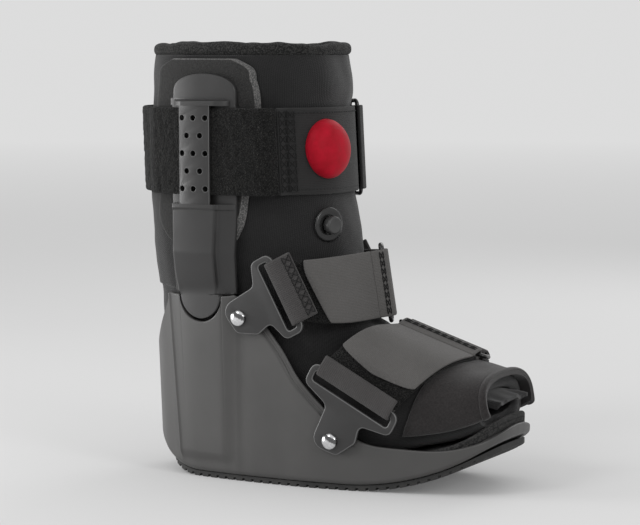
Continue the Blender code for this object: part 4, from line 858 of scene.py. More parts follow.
def band(name, line, width, thick, count=120, stations=20, lift=None):
    """A strap with smooth bends: stations are packed at its ends, where it is rounded off."""
    length = lengths(line)
    tip = np.array(BAND_TIP) * thick / 2 / path_length(line)
    stops = np.concatenate([tip, np.linspace(tip[-1], 1 - tip[-1], count)[1:-1], 1 - tip[::-1]])
    whole = read_off(hermite, length, np.concatenate([line, width], axis=1), stops * length[-1])
    edge = np.ones(len(whole))
    return skin(name, band_rings(whole[:, :3], whole[:, 3:], thick, -edge, edge, stations, lift))


def strip_area(line, width, low, high):
    """Flat area of a strap: its width summed along its line."""
    steps = np.linalg.norm(np.diff(line, axis=0), axis=1)
    wide = np.linalg.norm(width, axis=1) * (high - low)
    return float((steps * (wide[1:] + wide[:-1]) / 2).sum())


def grid_area(grid):
    """Area of a grid's surface: half the length of each cell's crossed diagonals."""
    first, second = grid[1:, 1:] - grid[:-1, :-1], grid[1:, :-1] - grid[:-1, 1:]
    return float(np.linalg.norm(np.cross(first, second), axis=-1).sum() / 2)


def stitches(name, starts, ends, radius, bow):
    """Threads as one mesh: each a thin six-sided capsule from its start to its end, bowed outwards."""
    starts, ends = np.asarray(starts), np.asarray(ends)
    along = np.array([0.0, 0.04, 0.25, 0.5, 0.75, 0.96, 1.0])
    thick = np.array([0.15, 0.75, 1.0, 1.0, 1.0, 0.75, 0.15])
    around = np.arange(6) * math.pi / 3
    way = unit(ends - starts)
    first = unit(np.cross(way, bow))
    second = np.cross(first, way)
    middle = starts[:, None] + (ends - starts)[:, None] * along[:, None]
    middle = middle + np.asarray(bow)[..., None, :] * (np.sin(along * math.pi) * radius * 0.8)[:, None]
    spoke = first[:, None, None] * np.cos(around)[:, None] + second[:, None, None] * np.sin(around)[:, None]
    rings = middle[:, :, None] + spoke * (thick * radius)[:, None, None]
    number, rows, count = rings.shape[:3]
    _, _, quad = ring_quads(rows, count)
    quads = (quad[None] + (np.arange(number) * rows * count)[:, None, None]).reshape(-1, 4)
    base = (np.arange(number) * rows * count)[:, None]
    start_cap = (base + np.arange(count)[::-1]).tolist()
    end_cap = (base + (rows - 1) * count + np.arange(count)).tolist()
    mesh = bpy.data.meshes.new(name)
    mesh.from_pydata(rings.reshape(-1, 3).tolist(), [], quads.tolist() + start_cap + end_cap)
    if six_volumes(rings[0].reshape(-1, 3), quad) < 0:
        mesh.flip_normals()
    mesh.shade_smooth()
    return mesh


def lathe(name, profile, origin, axis, sides=48):
    """A turned piece: radii and heights of its profile carried round an axis."""
    axis = unit(axis)
    first = unit(np.cross(axis, (0.0, 0.0, 1.0) if abs(axis[2]) < 0.9 else (1.0, 0.0, 0.0)))
    second = np.cross(axis, first)
    around = full_turn(sides)
    spoke = np.cos(around)[:, None] * first + np.sin(around)[:, None] * second
    profile = np.asarray(profile, float)
    rings = origin + profile[:, 1, None, None] * axis + profile[:, 0, None, None] * spoke
    return skin(name, rings, crease=50)


# Finishes

class Wire:
    """A socket whose arithmetic adds Math nodes."""

    def __init__(self, sheet, socket):
        self.sheet, self.socket = sheet, socket

    def math(self, operation, *others):
        sockets = {0: self, **dict(enumerate(others, 1))}
        return self.sheet.node("ShaderNodeMath", {"operation": operation}, sockets)

    def __add__(self, other):
        return self.math("ADD", other)

    def __sub__(self, other):
        return self.math("SUBTRACT", other)

    def __mul__(self, other):
        return self.math("MULTIPLY", other)

    def __rsub__(self, other):
        return self.sheet.node("ShaderNodeMath", {"operation": "SUBTRACT"}, {0: other, 1: self})

    __radd__, __rmul__ = __add__, __mul__


class Finish:
    """A material under construction on its Principled shader."""

    def __init__(self, name, **constants):
        self.material = bpy.data.materials.new(name)
        self.material.use_nodes = True
        self.tree = self.material.node_tree
        self.shader = self.tree.nodes["Principled BSDF"]
        for socket, value in constants.items():
            self.shader.inputs[socket.replace("_", " ")].default_value = value

    def node(self, kind, settings=None, sockets=None, out=0):
        """Adds a node: its settings first, then its sockets' values or links."""
        made = self.tree.nodes.new(kind)
        for key, value in (settings or {}).items():
            setattr(made, key, value)
        for key, value in (sockets or {}).items():
            if isinstance(value, Wire):
                self.tree.links.new(value.socket, made.inputs[key])
            else:
                made.inputs[key].default_value = value
        return Wire(self, made.outputs[out])

    def place(self):
        return self.node("ShaderNodeTexCoord", out="Object")

    def noise(self, scale, detail=3.0, roughness=0.55):
        sockets = {"Vector": self.place(), "Scale": scale, "Detail": detail, "Roughness": roughness}
        return self.node("ShaderNodeTexNoise", None, sockets)

    def cells(self, scale):
        return self.node("ShaderNodeTexVoronoi", None, {"Vector": self.place(), "Scale": scale})

    def cloth_way(self):
        """Across and along a piece, in metres, from its UV map."""
        split = self.node("ShaderNodeSeparateXYZ", None, {0: self.node("ShaderNodeTexCoord", out="UV")})
        return split, Wire(self, split.socket.node.outputs[1])

    def mark(self, name):
        return self.node("ShaderNodeAttribute", {"attribute_name": name}, out="Fac")

    def steer(self, value, low, high, to_low=0.0, to_high=1.0):
        sockets = {0: value, 1: low, 2: high, 3: to_low, 4: to_high}
        return self.node("ShaderNodeMapRange", {"clamp": True}, sockets)

    def mix(self, share, first, second):
        def colour(value):
            return value if isinstance(value, Wire) else (*value, 1.0)
        sockets = {0: share, 6: colour(first), 7: colour(second)}
        return self.node("ShaderNodeMix", {"data_type": "RGBA"}, sockets, out=2)

    def colour(self, value):
        self.tree.links.new(value.socket, self.shader.inputs["Base Color"])

    def roughness(self, value):
        self.tree.links.new(value.socket, self.shader.inputs["Roughness"])

    def bump(self, height, distance, strength=1.0):
        sockets = {"Strength": strength, "Distance": distance, "Height": height}
        made = self.node("ShaderNodeBump", None, sockets)
        self.tree.links.new(made.socket, self.shader.inputs["Normal"])


def moulded(name, colour, pale, roughness):
    """Satin moulded plastic: fine spark-eroded grain, faint flow marks, a duller bloom, and a painted
    highlight in pale grey along the bevels that carry the edge mark.
    """
    made = Finish(name, Specular_IOR_Level=0.5)
    grain = made.noise(1500.0, 2.0)
    cloud = made.noise(22.0, 4.0, 0.6)
    body = made.mix(made.steer(cloud, 0.3, 0.75), colour, pale)
    # Painted highlight: where the edge mark is set, the colour is mixed towards pale grey to stand in for the
    # bright lines of light along the bevels.
    made.colour(made.mix(made.mark("edge") * 0.55, body, (0.20, 0.20, 0.20)))
    made.roughness(made.steer(cloud, 0.3, 0.7, roughness - 0.05, roughness + 0.07) + grain * 0.06)
    made.bump(grain + made.noise(420.0, 2.0) * 0.6, 0.00006, 0.55)
    return made.material


def tread_rubber():
    """Dull black rubber with dust and small pits."""
    made = Finish("tread_rubber", Specular_IOR_Level=0.35)
    dust = made.noise(60.0, 6.0, 0.7)
    made.colour(made.mix(made.steer(dust, 0.4, 0.8), (0.020, 0.020, 0.020), (0.048, 0.047, 0.045)))
    made.roughness(made.steer(dust, 0.3, 0.7, 0.62, 0.85))
    made.bump(made.noise(900.0, 3.0), 0.0002, 0.6)
    return made.material


def cell_foam(name, dark, light, scale=750.0):
    """Open foam: small pores between thin pale walls."""
    made = Finish(name, Specular_IOR_Level=0.2)
    pores = made.cells(scale)
    speck = made.noise(scale * 1.3, 2.0)
    share = made.steer(pores * 0.7 + speck * 0.6, 0.35, 0.85)
    made.colour(made.mix(share, light, dark))
    made.roughness(made.steer(speck, 0.2, 0.8, 0.85, 0.97))
    made.bump(1.0 - pores, 0.0004, 0.7)
    return made.material


def pad_cloth():
    """Foam laminated with a short-napped cloth; its cut sides show the pale foam."""
    made = Finish("pad_foam", Specular_IOR_Level=0.2, Sheen_Weight=0.15)
    nap = made.noise(1300.0, 3.0, 0.7)
    cloth = made.mix(made.steer(nap, 0.35, 0.75), (0.010, 0.010, 0.010), (0.045, 0.044, 0.043))
    pores = made.cells(900.0)
    foam = made.mix(made.steer(pores + nap * 0.4, 0.3, 0.9), (0.19, 0.185, 0.18), (0.06, 0.06, 0.06))
    made.colour(made.mix(made.steer(made.mark("cut"), 0.25, 0.55), cloth, foam))
    made.roughness(made.steer(nap, 0.2, 0.8, 0.85, 0.98))
    made.bump(nap + pores * 0.4, 0.0004, 0.7)
    return made.material


def knit_cloth():
    """Fine knit over foam: columns of small stitches, a faint sheen and lint."""
    made = Finish("liner_knit", Specular_IOR_Level=0.2, Sheen_Weight=0.22, Sheen_Roughness=0.5)
    across, along = made.cloth_way()
    wale = (across * (2 * math.pi / 0.0016)).math("SINE")
    course = (along * (2 * math.pi / 0.0013) + wale * 1.2).math("SINE")
    loop = wale * 0.5 + course * 0.5
    speck = made.noise(1100.0, 3.0, 0.7)
    cloud = made.noise(30.0, 3.0)
    share = made.steer(loop * 0.25 + speck * 0.9 + cloud * 0.35, 0.35, 1.15)
    made.colour(made.mix(share, (0.0065, 0.0064, 0.0066), (0.026, 0.0255, 0.026)))
    made.roughness(made.steer(speck, 0.2, 0.8, 0.82, 0.96))
    made.bump(loop * 0.5 + speck * 0.8, 0.00035, 0.6)
    return made.material


def felt_cloth():
    """Thick brushed felt: matted fibres with lighter lint."""
    made = Finish("flap_felt", Specular_IOR_Level=0.2, Sheen_Weight=0.22)
    fibre = made.noise(650.0, 5.0, 0.75)
    lint = made.noise(1700.0, 2.0, 0.6)
    share = made.steer(fibre * 0.8 + lint * 0.5, 0.42, 0.95)
    made.colour(made.mix(share, (0.009, 0.0080, 0.0080), (0.038, 0.034, 0.034)))
    made.roughness(made.steer(lint, 0.2, 0.8, 0.85, 0.97))
    made.bump(fibre + lint * 0.6, 0.0005, 0.75)
    return made.material


def pile_cloth(name, dark, light, specks):
    """Looped pile: tufts a millimetre or so apart, dark between them, with bright specks on the loops."""
    made = Finish(name, Specular_IOR_Level=0.2, Sheen_Weight=0.06)
    tuft = made.cells(820.0)
    small = made.noise(1500.0, 4.0, 0.8)
    speck = made.steer(made.noise(2100.0, 2.0, 0.6), 0.62, 0.74)
    share = made.steer((1.0 - tuft) * 0.7 + small * 0.7, 0.62, 1.08)
    base = made.mix(share, (dark, dark, dark), (light, light, 0.96 * light))
    made.colour(made.mix(speck * specks, base, (0.20, 0.19, 0.175)))
    made.roughness(made.steer(small, 0.2, 0.8, 0.78, 0.97))
    made.bump((1.0 - tuft) + small * 0.8, 0.0009, 0.9)
    return made.material


def woven_cloth(name, dark, light, pitch):
    """Dense narrow weave: warp ribs along the strap crossed by a finer weft."""
    made = Finish(name, Specular_IOR_Level=0.3, Sheen_Weight=0.1)
    across, along = made.cloth_way()
    warp = (across * (2 * math.pi / pitch)).math("SINE")
    weft = (along * (2 * math.pi / (0.7 * pitch)) + warp * 1.3).math("SINE")
    fuzz = made.noise(1200.0, 3.0, 0.7)
    cloud = made.noise(40.0, 3.0)
    share = made.steer(weft * 0.16 + warp * 0.10 + fuzz * 0.8 + cloud * 0.3, 0.30, 0.95)
    made.colour(made.mix(share, dark, light))
    made.roughness(made.steer(fuzz, 0.2, 0.8, 0.70, 0.92))
    made.bump(weft * 0.4 + warp * 0.4 + fuzz * 0.5, 0.00025, 0.6)
    return made.material


def gloss_plastic():
    """Black polished plastic with faint scuffs."""
    made = Finish("gloss_plastic", Specular_IOR_Level=0.5)
    scuff = made.noise(90.0, 6.0, 0.75)
    made.colour(made.mix(made.steer(scuff, 0.45, 0.8), (0.009, 0.009, 0.009), (0.022, 0.022, 0.022)))
    made.roughness(made.steer(scuff, 0.3, 0.8, 0.16, 0.36))
    made.bump(made.noise(500.0, 2.0), 0.00004, 0.3)
    return made.material


def bulb_rubber():
    """Soft red rubber bulb with a matt, faintly dusty skin."""
    made = Finish("bulb_rubber", Specular_IOR_Level=0.12, Sheen_Weight=0.03)
    cloud = made.noise(120.0, 4.0, 0.6)
    fine = made.noise(1400.0, 2.0)
    made.colour(made.mix(made.steer(cloud, 0.3, 0.75), (0.30, 0.0015, 0.010), (0.42, 0.0035, 0.019)))
    made.roughness(made.steer(cloud, 0.3, 0.7, 0.48, 0.62))
    made.bump(fine + cloud * 0.4, 0.0002, 0.5)
    return made.material


def rivet_metal():
    """Polished plated steel with hairline marks, and a painted reflection: a dark band over the upper part of
    its dome, towards the toe.
    """
    made = Finish("rivet_metal", Metallic=1.0)
    fine = made.noise(700.0, 4.0, 0.7)
    bright = made.mix(made.steer(fine, 0.4, 0.75), (0.80, 0.80, 0.81), (0.52, 0.52, 0.53))
    # Painted reflection: a band of the dome, found by its place towards the world's up and the toe, is mixed
    # towards near black. It stands in for the dark part of the room that the chrome reflects.
    upper = made.mark("rise") + fine * 0.5
    painted_reflection = made.steer(upper, 0.30, 0.50) * made.steer(upper, 1.05, 0.95)
    made.colour(made.mix(painted_reflection * 0.85, bright, (0.035, 0.035, 0.036)))
    made.roughness(made.steer(fine, 0.3, 0.8, 0.10, 0.28))
    made.bump(fine, 0.00003, 0.3)
    return made.material


FINISHES = {
    "shell": moulded("shell_plastic", (0.050, 0.0490, 0.0480), (0.060, 0.0585, 0.0570), 0.40),
    "rubber": tread_rubber(),
    "foam": cell_foam("footbed_foam", (0.016, 0.016, 0.016), (0.055, 0.054, 0.053)),
    "pad": pad_cloth(),
    "liner": knit_cloth(),
    "felt": felt_cloth(),
    "pile": pile_cloth("strap_pile", 0.0010, 0.020, 0.5),
    "fleece": pile_cloth("collar_fleece", 0.0060, 0.060, 0.4),
    "webbing": woven_cloth("plain_webbing", (0.028, 0.0265, 0.0265), (0.072, 0.068, 0.067), 0.0014),
    "panel": woven_cloth("panel_cloth", (0.0085, 0.0085, 0.0085), (0.027, 0.0265, 0.0265), 0.0012),
    "tab": woven_cloth("tab_webbing", (0.066, 0.063, 0.061), (0.128, 0.124, 0.120), 0.0011),
    "thread": woven_cloth("sewing_thread", (0.0015, 0.0015, 0.0015), (0.007, 0.007, 0.007), 0.0006),
    "gloss": gloss_plastic(),
    "knob": moulded("knob_plastic", (0.030, 0.030, 0.030), (0.042, 0.042, 0.042), 0.38),
    "strut": moulded("strut_plastic", (0.020, 0.0195, 0.0195), (0.026, 0.0255, 0.0255), 0.38),
    "bulb": bulb_rubber(),
    "chrome": rivet_metal(),
}


# Shell and footbed: the rear ridge of the wall's raised panel from its lower end to its upper one, and
# where the panel's soft front edge and foot lie

RIDGE = 0.0014
RIDGE_SHARP = 0.0012
RIDGE_LOW, RIDGE_HIGH = (-0.087, 0.012), (-0.094, 0.1285)
PANEL_FRONT = (-0.050, -0.038)
PANEL_FOOT = (0.0135, 0.0175)
RIM_ROUND = 0.0011
BED_GROOVE = 0.0005


def side_relief(x, z):
    """Raised panel over the strut's line on the shell: a sharp rear ridge and soft front and lower edges."""
    slope = (RIDGE_HIGH[0] - RIDGE_LOW[0]) / (RIDGE_HIGH[1] - RIDGE_LOW[1])
    ridge = RIDGE_LOW[0] + (z - RIDGE_LOW[1]) * slope
    inside = smoothstep(ridge - RIDGE_SHARP, ridge + RIDGE_SHARP / 2, x) * (1 - smoothstep(*PANEL_FRONT, x))
    bead = 0.45 * np.exp(-((x - ridge - RIDGE_SHARP / 2) / RIDGE_SHARP) ** 2)
    return RIDGE * (inside + bead) * smoothstep(*PANEL_FOOT, z)


def shell_stations():
    """Fractional rows of the plan round half the shell, close together at the ridge and across the notch."""
    fine = np.linspace(0, len(PLAN) - 1, 4001)
    along = wall_plan(fine, CUFF_HEIGHT)[0]
    across = NOTCH_X - NOTCH_WIDTH / 2 * np.cos(np.linspace(0, math.pi, 37))
    edge = np.interp(across, along, fine)
    parts = np.linspace(0, 3.5, 30), np.linspace(3.5, 7.5, 80)[1:], np.linspace(7.5, 30, 190)[1:]
    plan = np.concatenate(parts)
    clear = np.abs(plan[:, None] - edge[None, :]).min(axis=1) > 0.03
    return np.sort(np.concatenate([plan[clear], edge]))


def add_shell():
    """Moulded tray. Each ring is the shell's plan at a height that runs from the sole's edge up to the
    sloping rim, set in by the wall's relief; the rim is a half round, and the inner wall goes back down."""
    rows = shell_stations()
    rim = rim_height(rows)
    corner = corner_radius(rows)
    bottom = sole_height(wall_plan(rows, FOREFOOT_HEIGHT)[0]) + TREAD_THICKNESS + GAP
    low = bottom + corner
    slope = np.abs(np.gradient(rim_height(rows, dip=False), wall_plan(rows, CUFF_HEIGHT)[0] + 1e-4 * rows))
    lip = np.minimum(LIP_WIDTH * np.sqrt(1 + np.minimum(slope, 2.0) ** 2), 0.4 * (rim - low))
    recess = lip_share(rows)
    top = rim - RIM_ROUND
    levels = []
    for turn in np.linspace(0, math.pi / 2, 8):
        levels.append((bottom + corner * (1 - math.cos(turn)), corner * (1 - math.sin(turn)), 0.0))
    for share in np.linspace(0, 1, 44)[1:]:
        levels.append((low + (top - lip - low) * share, 0.0, 1.0))
    for share in np.linspace(0, 1, 15)[1:]:
        bead = 0.55 * LIP_STEP * math.exp(-((share - 0.55) / 0.13) ** 2)
        into = smoothstep(0.0, 0.28, share) * LIP_STEP - bead
        levels.append((top - lip * (1 - share), recess * into, 1.0))
    edge = recess * LIP_STEP
    for turn in np.radians([30, 60, 90]):
        levels.append((top + RIM_ROUND * math.sin(turn), edge + RIM_ROUND * (1 - math.cos(turn)), 1.0))
    for turn in np.radians([90, 120, 150, 180]):
        levels.append((top + RIM_ROUND * math.sin(turn), SHELL_WALL - RIM_ROUND * (1 + math.cos(turn)), 0.0))
    floor = bottom + SHELL_FLOOR
    for share in np.linspace(1, 0, 12)[1:]:
        levels.append((floor + corner + (top - floor - corner) * share, SHELL_WALL, 0.0))
    for turn in np.linspace(math.pi / 2, 0, 5)[1:]:
        set_in = SHELL_WALL + corner * (1 - math.sin(turn))
        levels.append((floor + corner * (1 - math.cos(turn)), set_in, 0.0))
    rings = []
    for height, set_in, relief in levels:
        x, y = wall_plan(rows, height)
        set_in = set_in - relief * side_relief(x, height)
        rings.append(both_sides(*inset(x, y, set_in), height))
    mesh = skin("shell_moulding", rings, caps="mirror", crease=60)
    add_piece(mesh, "shell", ["shell"])


def add_footbed():
    """Foam tray: rings of the shell's plan, set in, from its floor up to a soft upper edge."""
    rows = np.linspace(0, len(PLAN) - 1, 220)
    corner = corner_radius(rows)
    base_x = wall_plan(rows, FOREFOOT_HEIGHT)[0]
    clear = SHELL_WALL + 3 * GAP
    low = sole_height(base_x) + FLOOR_RISE + BED_CLEARANCE
    top = bed_top(base_x)
    rings = []

    def add_ring_at(height, set_in):
        rings.append(both_sides(*inset(*wall_plan(rows, height), clear + set_in), height))

    for turn in np.linspace(0, math.pi / 2, 6):
        add_ring_at(low + corner * (1 - math.cos(turn)), corner * (1 - math.sin(turn)))
    for share in (0.3, 0.45, 0.5, 0.55, 0.75):
        groove = BED_GROOVE * (share == 0.5)
        add_ring_at(low + corner + (top - BED_CORNER - low - corner) * share, groove)
    for turn in np.linspace(0, math.pi / 2, 6):
        add_ring_at(top - BED_CORNER * (1 - math.sin(turn)), BED_CORNER * (1 - math.cos(turn)))
    piece = add_piece(skin("footbed_foam", rings, caps="mirror"), "foam", ["footbed"])


# Liner

LINER_SINK = 0.0004
FOLD_DEPTH = 0.0016
WALL_RIPPLE = 0.0005
WALL_SWELL = 0.0009


def ankle_folds(points):
    """Cross folds where the soft boot bends at the front of the ankle."""
    x, y, z = np.moveaxis(points, -1, 0)
    front = smoothstep(-0.03, 0.02, x) * (1 - smoothstep(0.052, 0.066, x))
    region = front * smoothstep(0.100, 0.120, z) * (1 - smoothstep(0.150, 0.166, z))
    wave = np.sin((z + 0.35 * np.abs(y) + 0.004 * np.sin(y * 90)) * 2 * math.pi / 0.0145)
    return region * wave * FOLD_DEPTH


def add_liner():
    """Soft boot: sections of the leg and fanned sections of the foot, displaced by folds and an uneven
    ripple, then the same sections a wall further in, back to the top."""
    around = turns(176)
    heights = np.linspace(BOOT_HEIGHT - COLLAR_HEIGHT + 0.001, LEG[0].up * BOOT_HEIGHT, 130)
    rows = np.linspace(0, len(FOOT) - 1, 131)[1:]
    outer = np.array(
        [leg_point(around, z, -LINER_SINK) for z in heights]
        + [foot_point(row, around, -LINER_SINK) for row in rows]
    )
    amount = ankle_folds(outer) + WALL_RIPPLE * ripple(outer, 0.045, 3)
    amount = amount + 0.5 * WALL_RIPPLE * ripple(outer, 0.016, 4)
    outer = outer + normals(outer) * np.minimum(amount, WALL_SWELL)[..., None]
    inner = [leg_point(around, z, -LINER_WALL) for z in heights[::5]]
    inner += [foot_point(row, around, -LINER_WALL) for row in rows[4::5]]
    inner = np.array(inner)
    rings = np.concatenate([outer[::-1], inner])
    piece = add_piece(skin("liner_boot", rings, loop=True), "liner", ["liner"])


COLLAR_WAVE = 0.0016
COLLAR_REACH = 0.0007
COLLAR_NAP = 0.0003
COLLAR_PLUMP = 1.05
COLLAR_SQUARE = 0.8


def add_collar():
    """Rolled top edge: a superellipse section carried round the leg's top, with an uneven rise and reach."""
    around = turns(220)
    low = BOOT_HEIGHT - COLLAR_HEIGHT + GAP
    inner, outer = -COLLAR_PLUMP * LINER_WALL, 0.5 * COLLAR_FLARE
    middle, half = (outer + inner) / 2, (outer - inner) / 2
    tall = (BOOT_HEIGHT - low) / 2
    wave = 0.45 * np.sin(3 * around + 1.0) + 0.35 * np.sin(7 * around + 2.3) + 0.2 * np.sin(13 * around)
    rings = []
    for turn in np.linspace(0, 2 * math.pi, 33)[:-1]:
        reach = COLLAR_REACH * wave * max(0.0, math.cos(turn))
        ring = leg_point(around, low - GAP, middle + half * power(np.cos(turn), COLLAR_SQUARE) + reach)
        rise = COLLAR_WAVE * wave * (0.6 + 0.4 * math.sin(turn))
        ring[:, 2] = low + tall + tall * power(np.sin(turn), COLLAR_SQUARE) + rise
        rings.append(ring)
    rings = np.array(rings)
    rings = rings + normals(rings) * (COLLAR_NAP * ripple(rings, 0.012, 8))[..., None]
    piece = add_piece(skin("liner_collar_roll", rings, loop=True), "fleece", ["liner_collar"])


# Toe cloth

FLAP_PUFF = 0.0016
HEM_WIDTH = 0.0075
HEM_BOW = 0.0013
HEM_SEAT = 0.0002
FLAP_START = 8.5
FLAP_OVERLAP = 4 * math.pi / 32
UNDERFLAP_START = 9.6
UNDERFLAP_PUSH = (11.0, 12.0)
UNDERFLAP_INSET = 0.0008


def wall_sheet(outer, inner):
    """Rings of a wall between two grids: along the outer one and back along the inner one."""
    return np.concatenate([outer, inner[:, ::-1]], axis=1)


def add_toe_flap():
    """Felt over the toes, crowned between its edges, with a hem folded over its front edge."""
    around = np.linspace(-FLAP_OVERLAP, math.pi + FLAP_OVERLAP, 150)
    end = len(FOOT) - 0.04
    rows = np.linspace(FLAP_START, end, 64)
    share = (rows - rows[0]) / (end - rows[0])
    side = np.abs(np.linspace(-1, 1, len(around)))
    edge = np.minimum(1, (1 - side)[None, :] / 0.06) ** 0.5 * np.minimum(1, share[:, None] / 0.10) ** 0.5
    grid = np.array([foot_point(row, around, 0.0) for row in rows])
    normal = normals(np.concatenate([grid, grid[:, ::-1] - [0, 0, 0.02]], axis=1))[:, :len(around)]
    uneven = ripple(grid, 0.030, 11)
    crown = FLAP_PUFF * np.sin(np.clip(share * 1.15, 0, 1) * math.pi)[:, None] * (0.6 + 0.4 * uneven)
    under = grid + normal * (2 * GAP)
    over = grid + normal * (2 * GAP + FLAP_THICKNESS * (0.25 + 0.75 * edge) + crown * edge)[..., None]
    mesh = skin("toe_flap_felt", wall_sheet(over, under), caps="wall", crease=75)
    flap = add_piece(mesh, "felt", ["toe_flap"])
    hem_share = 1 - HEM_WIDTH / path_length(grid[:, len(around) // 2])
    hem_rows = np.linspace(hem_share, 1.0, 13)
    at = np.arange(len(rows)) / (len(rows) - 1)
    flat = read_off(linear, at, over.reshape(len(rows), -1), hem_rows)
    lifted = flat.reshape(len(hem_rows), len(around), 3)
    face = np.array([normal[min(int(value * (len(rows) - 1)), len(rows) - 1)] for value in hem_rows])
    bow = np.sin(np.linspace(0, math.pi, 13)) ** 0.5
    top = lifted + face * (HEM_SEAT + HEM_BOW * bow)[:, None, None]
    base = lifted + face * HEM_SEAT
    mesh = skin("toe_flap_hem", wall_sheet(top, base), caps="wall", crease=75)
    hem = add_piece(mesh, "felt", ["toe_flap_binding"])
    width = path_length(grid[len(rows) // 2])
    grid_area(grid) / width


def add_underflap():
    """Crumpled cloth end inside the toe: a sheet on the foot's sections whose height goes up and down."""
    around = np.linspace(FLAP_OVERLAP, math.pi - FLAP_OVERLAP, 110)
    rows = np.linspace(UNDERFLAP_START, UNDERFLAP_PUSH[1], 70)
    outer = np.array([foot_point(row, around, -LINER_WALL - 2 * GAP - UNDERFLAP_INSET) for row in rows])
    push = smoothstep(*UNDERFLAP_PUSH, rows)[:, None]
    fold = np.sin(np.linspace(0, 5.2 * math.pi, len(around)))[None, :] + 0.6 * ripple(outer, 0.018, 21)
    outer[..., 0] += push * (0.006 + 0.0016 * fold)
    outer[..., 2] += push * (-0.003 + 0.0017 * fold)
    inner = outer - [0, 0, UNDERFLAP_THICKNESS]
    mesh = skin("toe_underflap_cloth", wall_sheet(outer, inner), caps="wall", crease=75)
    piece = add_piece(mesh, "liner", ["toe_underflap"])
    width = path_length(outer[20])
    grid_area(outer) / width


# Struts and pads

PANEL_TOP = 0.195
EDGE_ROUND = 0.0012
HOLE_SIZE = 0.0041
HOLE_ROWS = ((-0.31, 0.0, 0.31), (-0.175, 0.175))
BRIDGE_CROWN = 0.0012
BRIDGE_EDGE = 0.0004
BRIDGE_CORNER = 0.001
PLATE_EDGE = 0.0009
PAD_SLANT = 0.0052
PAD_SLANT_DEPTH = 0.86
PAD_SOFT = 0.0009
NOTCH_FIT = 0.6 * NOTCH_CLEARANCE
NEAR_STEP = 1e-5
LEDGE_ROUND = 0.0010
FOOT_BLEND = (CUFF_HEIGHT - 0.004, CUFF_HEIGHT + 0.010)


def strut_outline(z):
    """Rear and front edge of the strut at a height, from its middle line: a half round foot, the body's
    straight edges, and a paddle that rounds off at the top."""
    half = NOTCH_WIDTH / 2 - NOTCH_FIT
    depth = NOTCH_DEPTH - NOTCH_FIT
    foot = half * np.sqrt(np.clip(1 - ((CUFF_HEIGHT - z) / depth) ** 2, 0.0004, 1))
    _, high = strut_window()
    start = high + LEDGE_HEIGHT + LEDGE_STEP
    share = np.clip((z - start) / (STRUT_TOP - start), 0, 1)
    narrow = np.sqrt(np.clip(1 - np.clip(share - 0.10, 0, 1) ** PADDLE_ROUND / 0.9 ** PADDLE_ROUND, 0.004, 1))
    up = column(STRUT, "up") * STRUT_TOP
    rear = np.where(z < high, np.interp(z, up, column(STRUT, "rear")), PADDLE[0]) * SLAT_WIDTH
    front = np.where(z < high, np.interp(z, up, column(STRUT, "front")), PADDLE[-1]) * SLAT_WIDTH
    ledge = (z >= high) & (z <= high + LEDGE_HEIGHT)
    rear = np.where(ledge, LEDGE[0] * SLAT_WIDTH, rear)
    middle = (PADDLE[0] + PADDLE[-1]) / 2 * SLAT_WIDTH
    rear = np.where(z > start, middle + (rear - middle) * narrow, rear)
    front = np.where(z > start, middle + (front - middle) * narrow, front)
    shift = NOTCH_X - STRUT_X
    in_notch = z <= CUFF_HEIGHT
    return np.where(in_notch, shift - foot, rear), np.where(in_notch, shift + foot, front)


def strut_thickness(across, z):
    """Height of the strut's face off its back: a flat panel with bevelled sides, a block under the strap, a
    thin plate behind it, and an elliptic ledge above."""
    low, high = strut_window()
    share = across / SLAT_WIDTH
    up = column(STRUT, "up") * STRUT_TOP
    rear = np.interp(z, up, column(STRUT, "panel_rear"))
    front = np.interp(z, up, column(STRUT, "panel_front"))
    body = np.interp(z, up, column(STRUT, "body")) * STRUT_BODY
    side = np.interp(z, up, column(STRUT, "side")) * body
    full = tunnel_depth() + SLAT_THICKNESS
    panel = smoothstep(rear - 0.10, rear + 0.02, share) * (1 - smoothstep(front, front + 0.07, share))
    edge = np.interp(z, up, column(STRUT, "front"))
    flange = smoothstep(rear - 0.10, rear + 0.02, share) * (1 - smoothstep(front + 0.10, edge, share))
    lower = STRUT_BACK_PLATE + (side - STRUT_BACK_PLATE) * flange + (body - side) * panel
    oval = np.sqrt(np.clip(1 - (np.clip(share + 0.10, -0.58, 0.58) / 0.58) ** 2, 0, 1))
    block = STRUT_BACK_PLATE + (full - STRUT_BACK_PLATE) * flange ** 0.5 * (0.55 + 0.45 * panel)
    rise = PANEL_TOP + 0.0008 * oval
    lower = lower + (block - lower) * smoothstep(rise - 0.0007, rise + 0.0007, z)
    ledge_oval = np.sqrt(np.clip(1 - (np.clip(share - 0.02, -0.75, 0.75) / 0.75) ** 2, 0, 1))
    ledge = STRUT_BACK_PLATE + (full - STRUT_BACK_PLATE) * np.clip(ledge_oval * 1.25, 0, 1)
    over = np.clip(z - high - LEDGE_HEIGHT + 2 * LEDGE_ROUND, 0, LEDGE_ROUND) / LEDGE_ROUND
    round_top = np.sqrt(np.clip(1 - over**2, 0.02, 1))
    thick = np.where(z < low, lower, STRUT_BACK_PLATE)
    in_ledge = (z >= high) & (z <= high + LEDGE_HEIGHT)
    return np.where(in_ledge, STRUT_BACK_PLATE + (ledge - STRUT_BACK_PLATE) * round_top, thick)


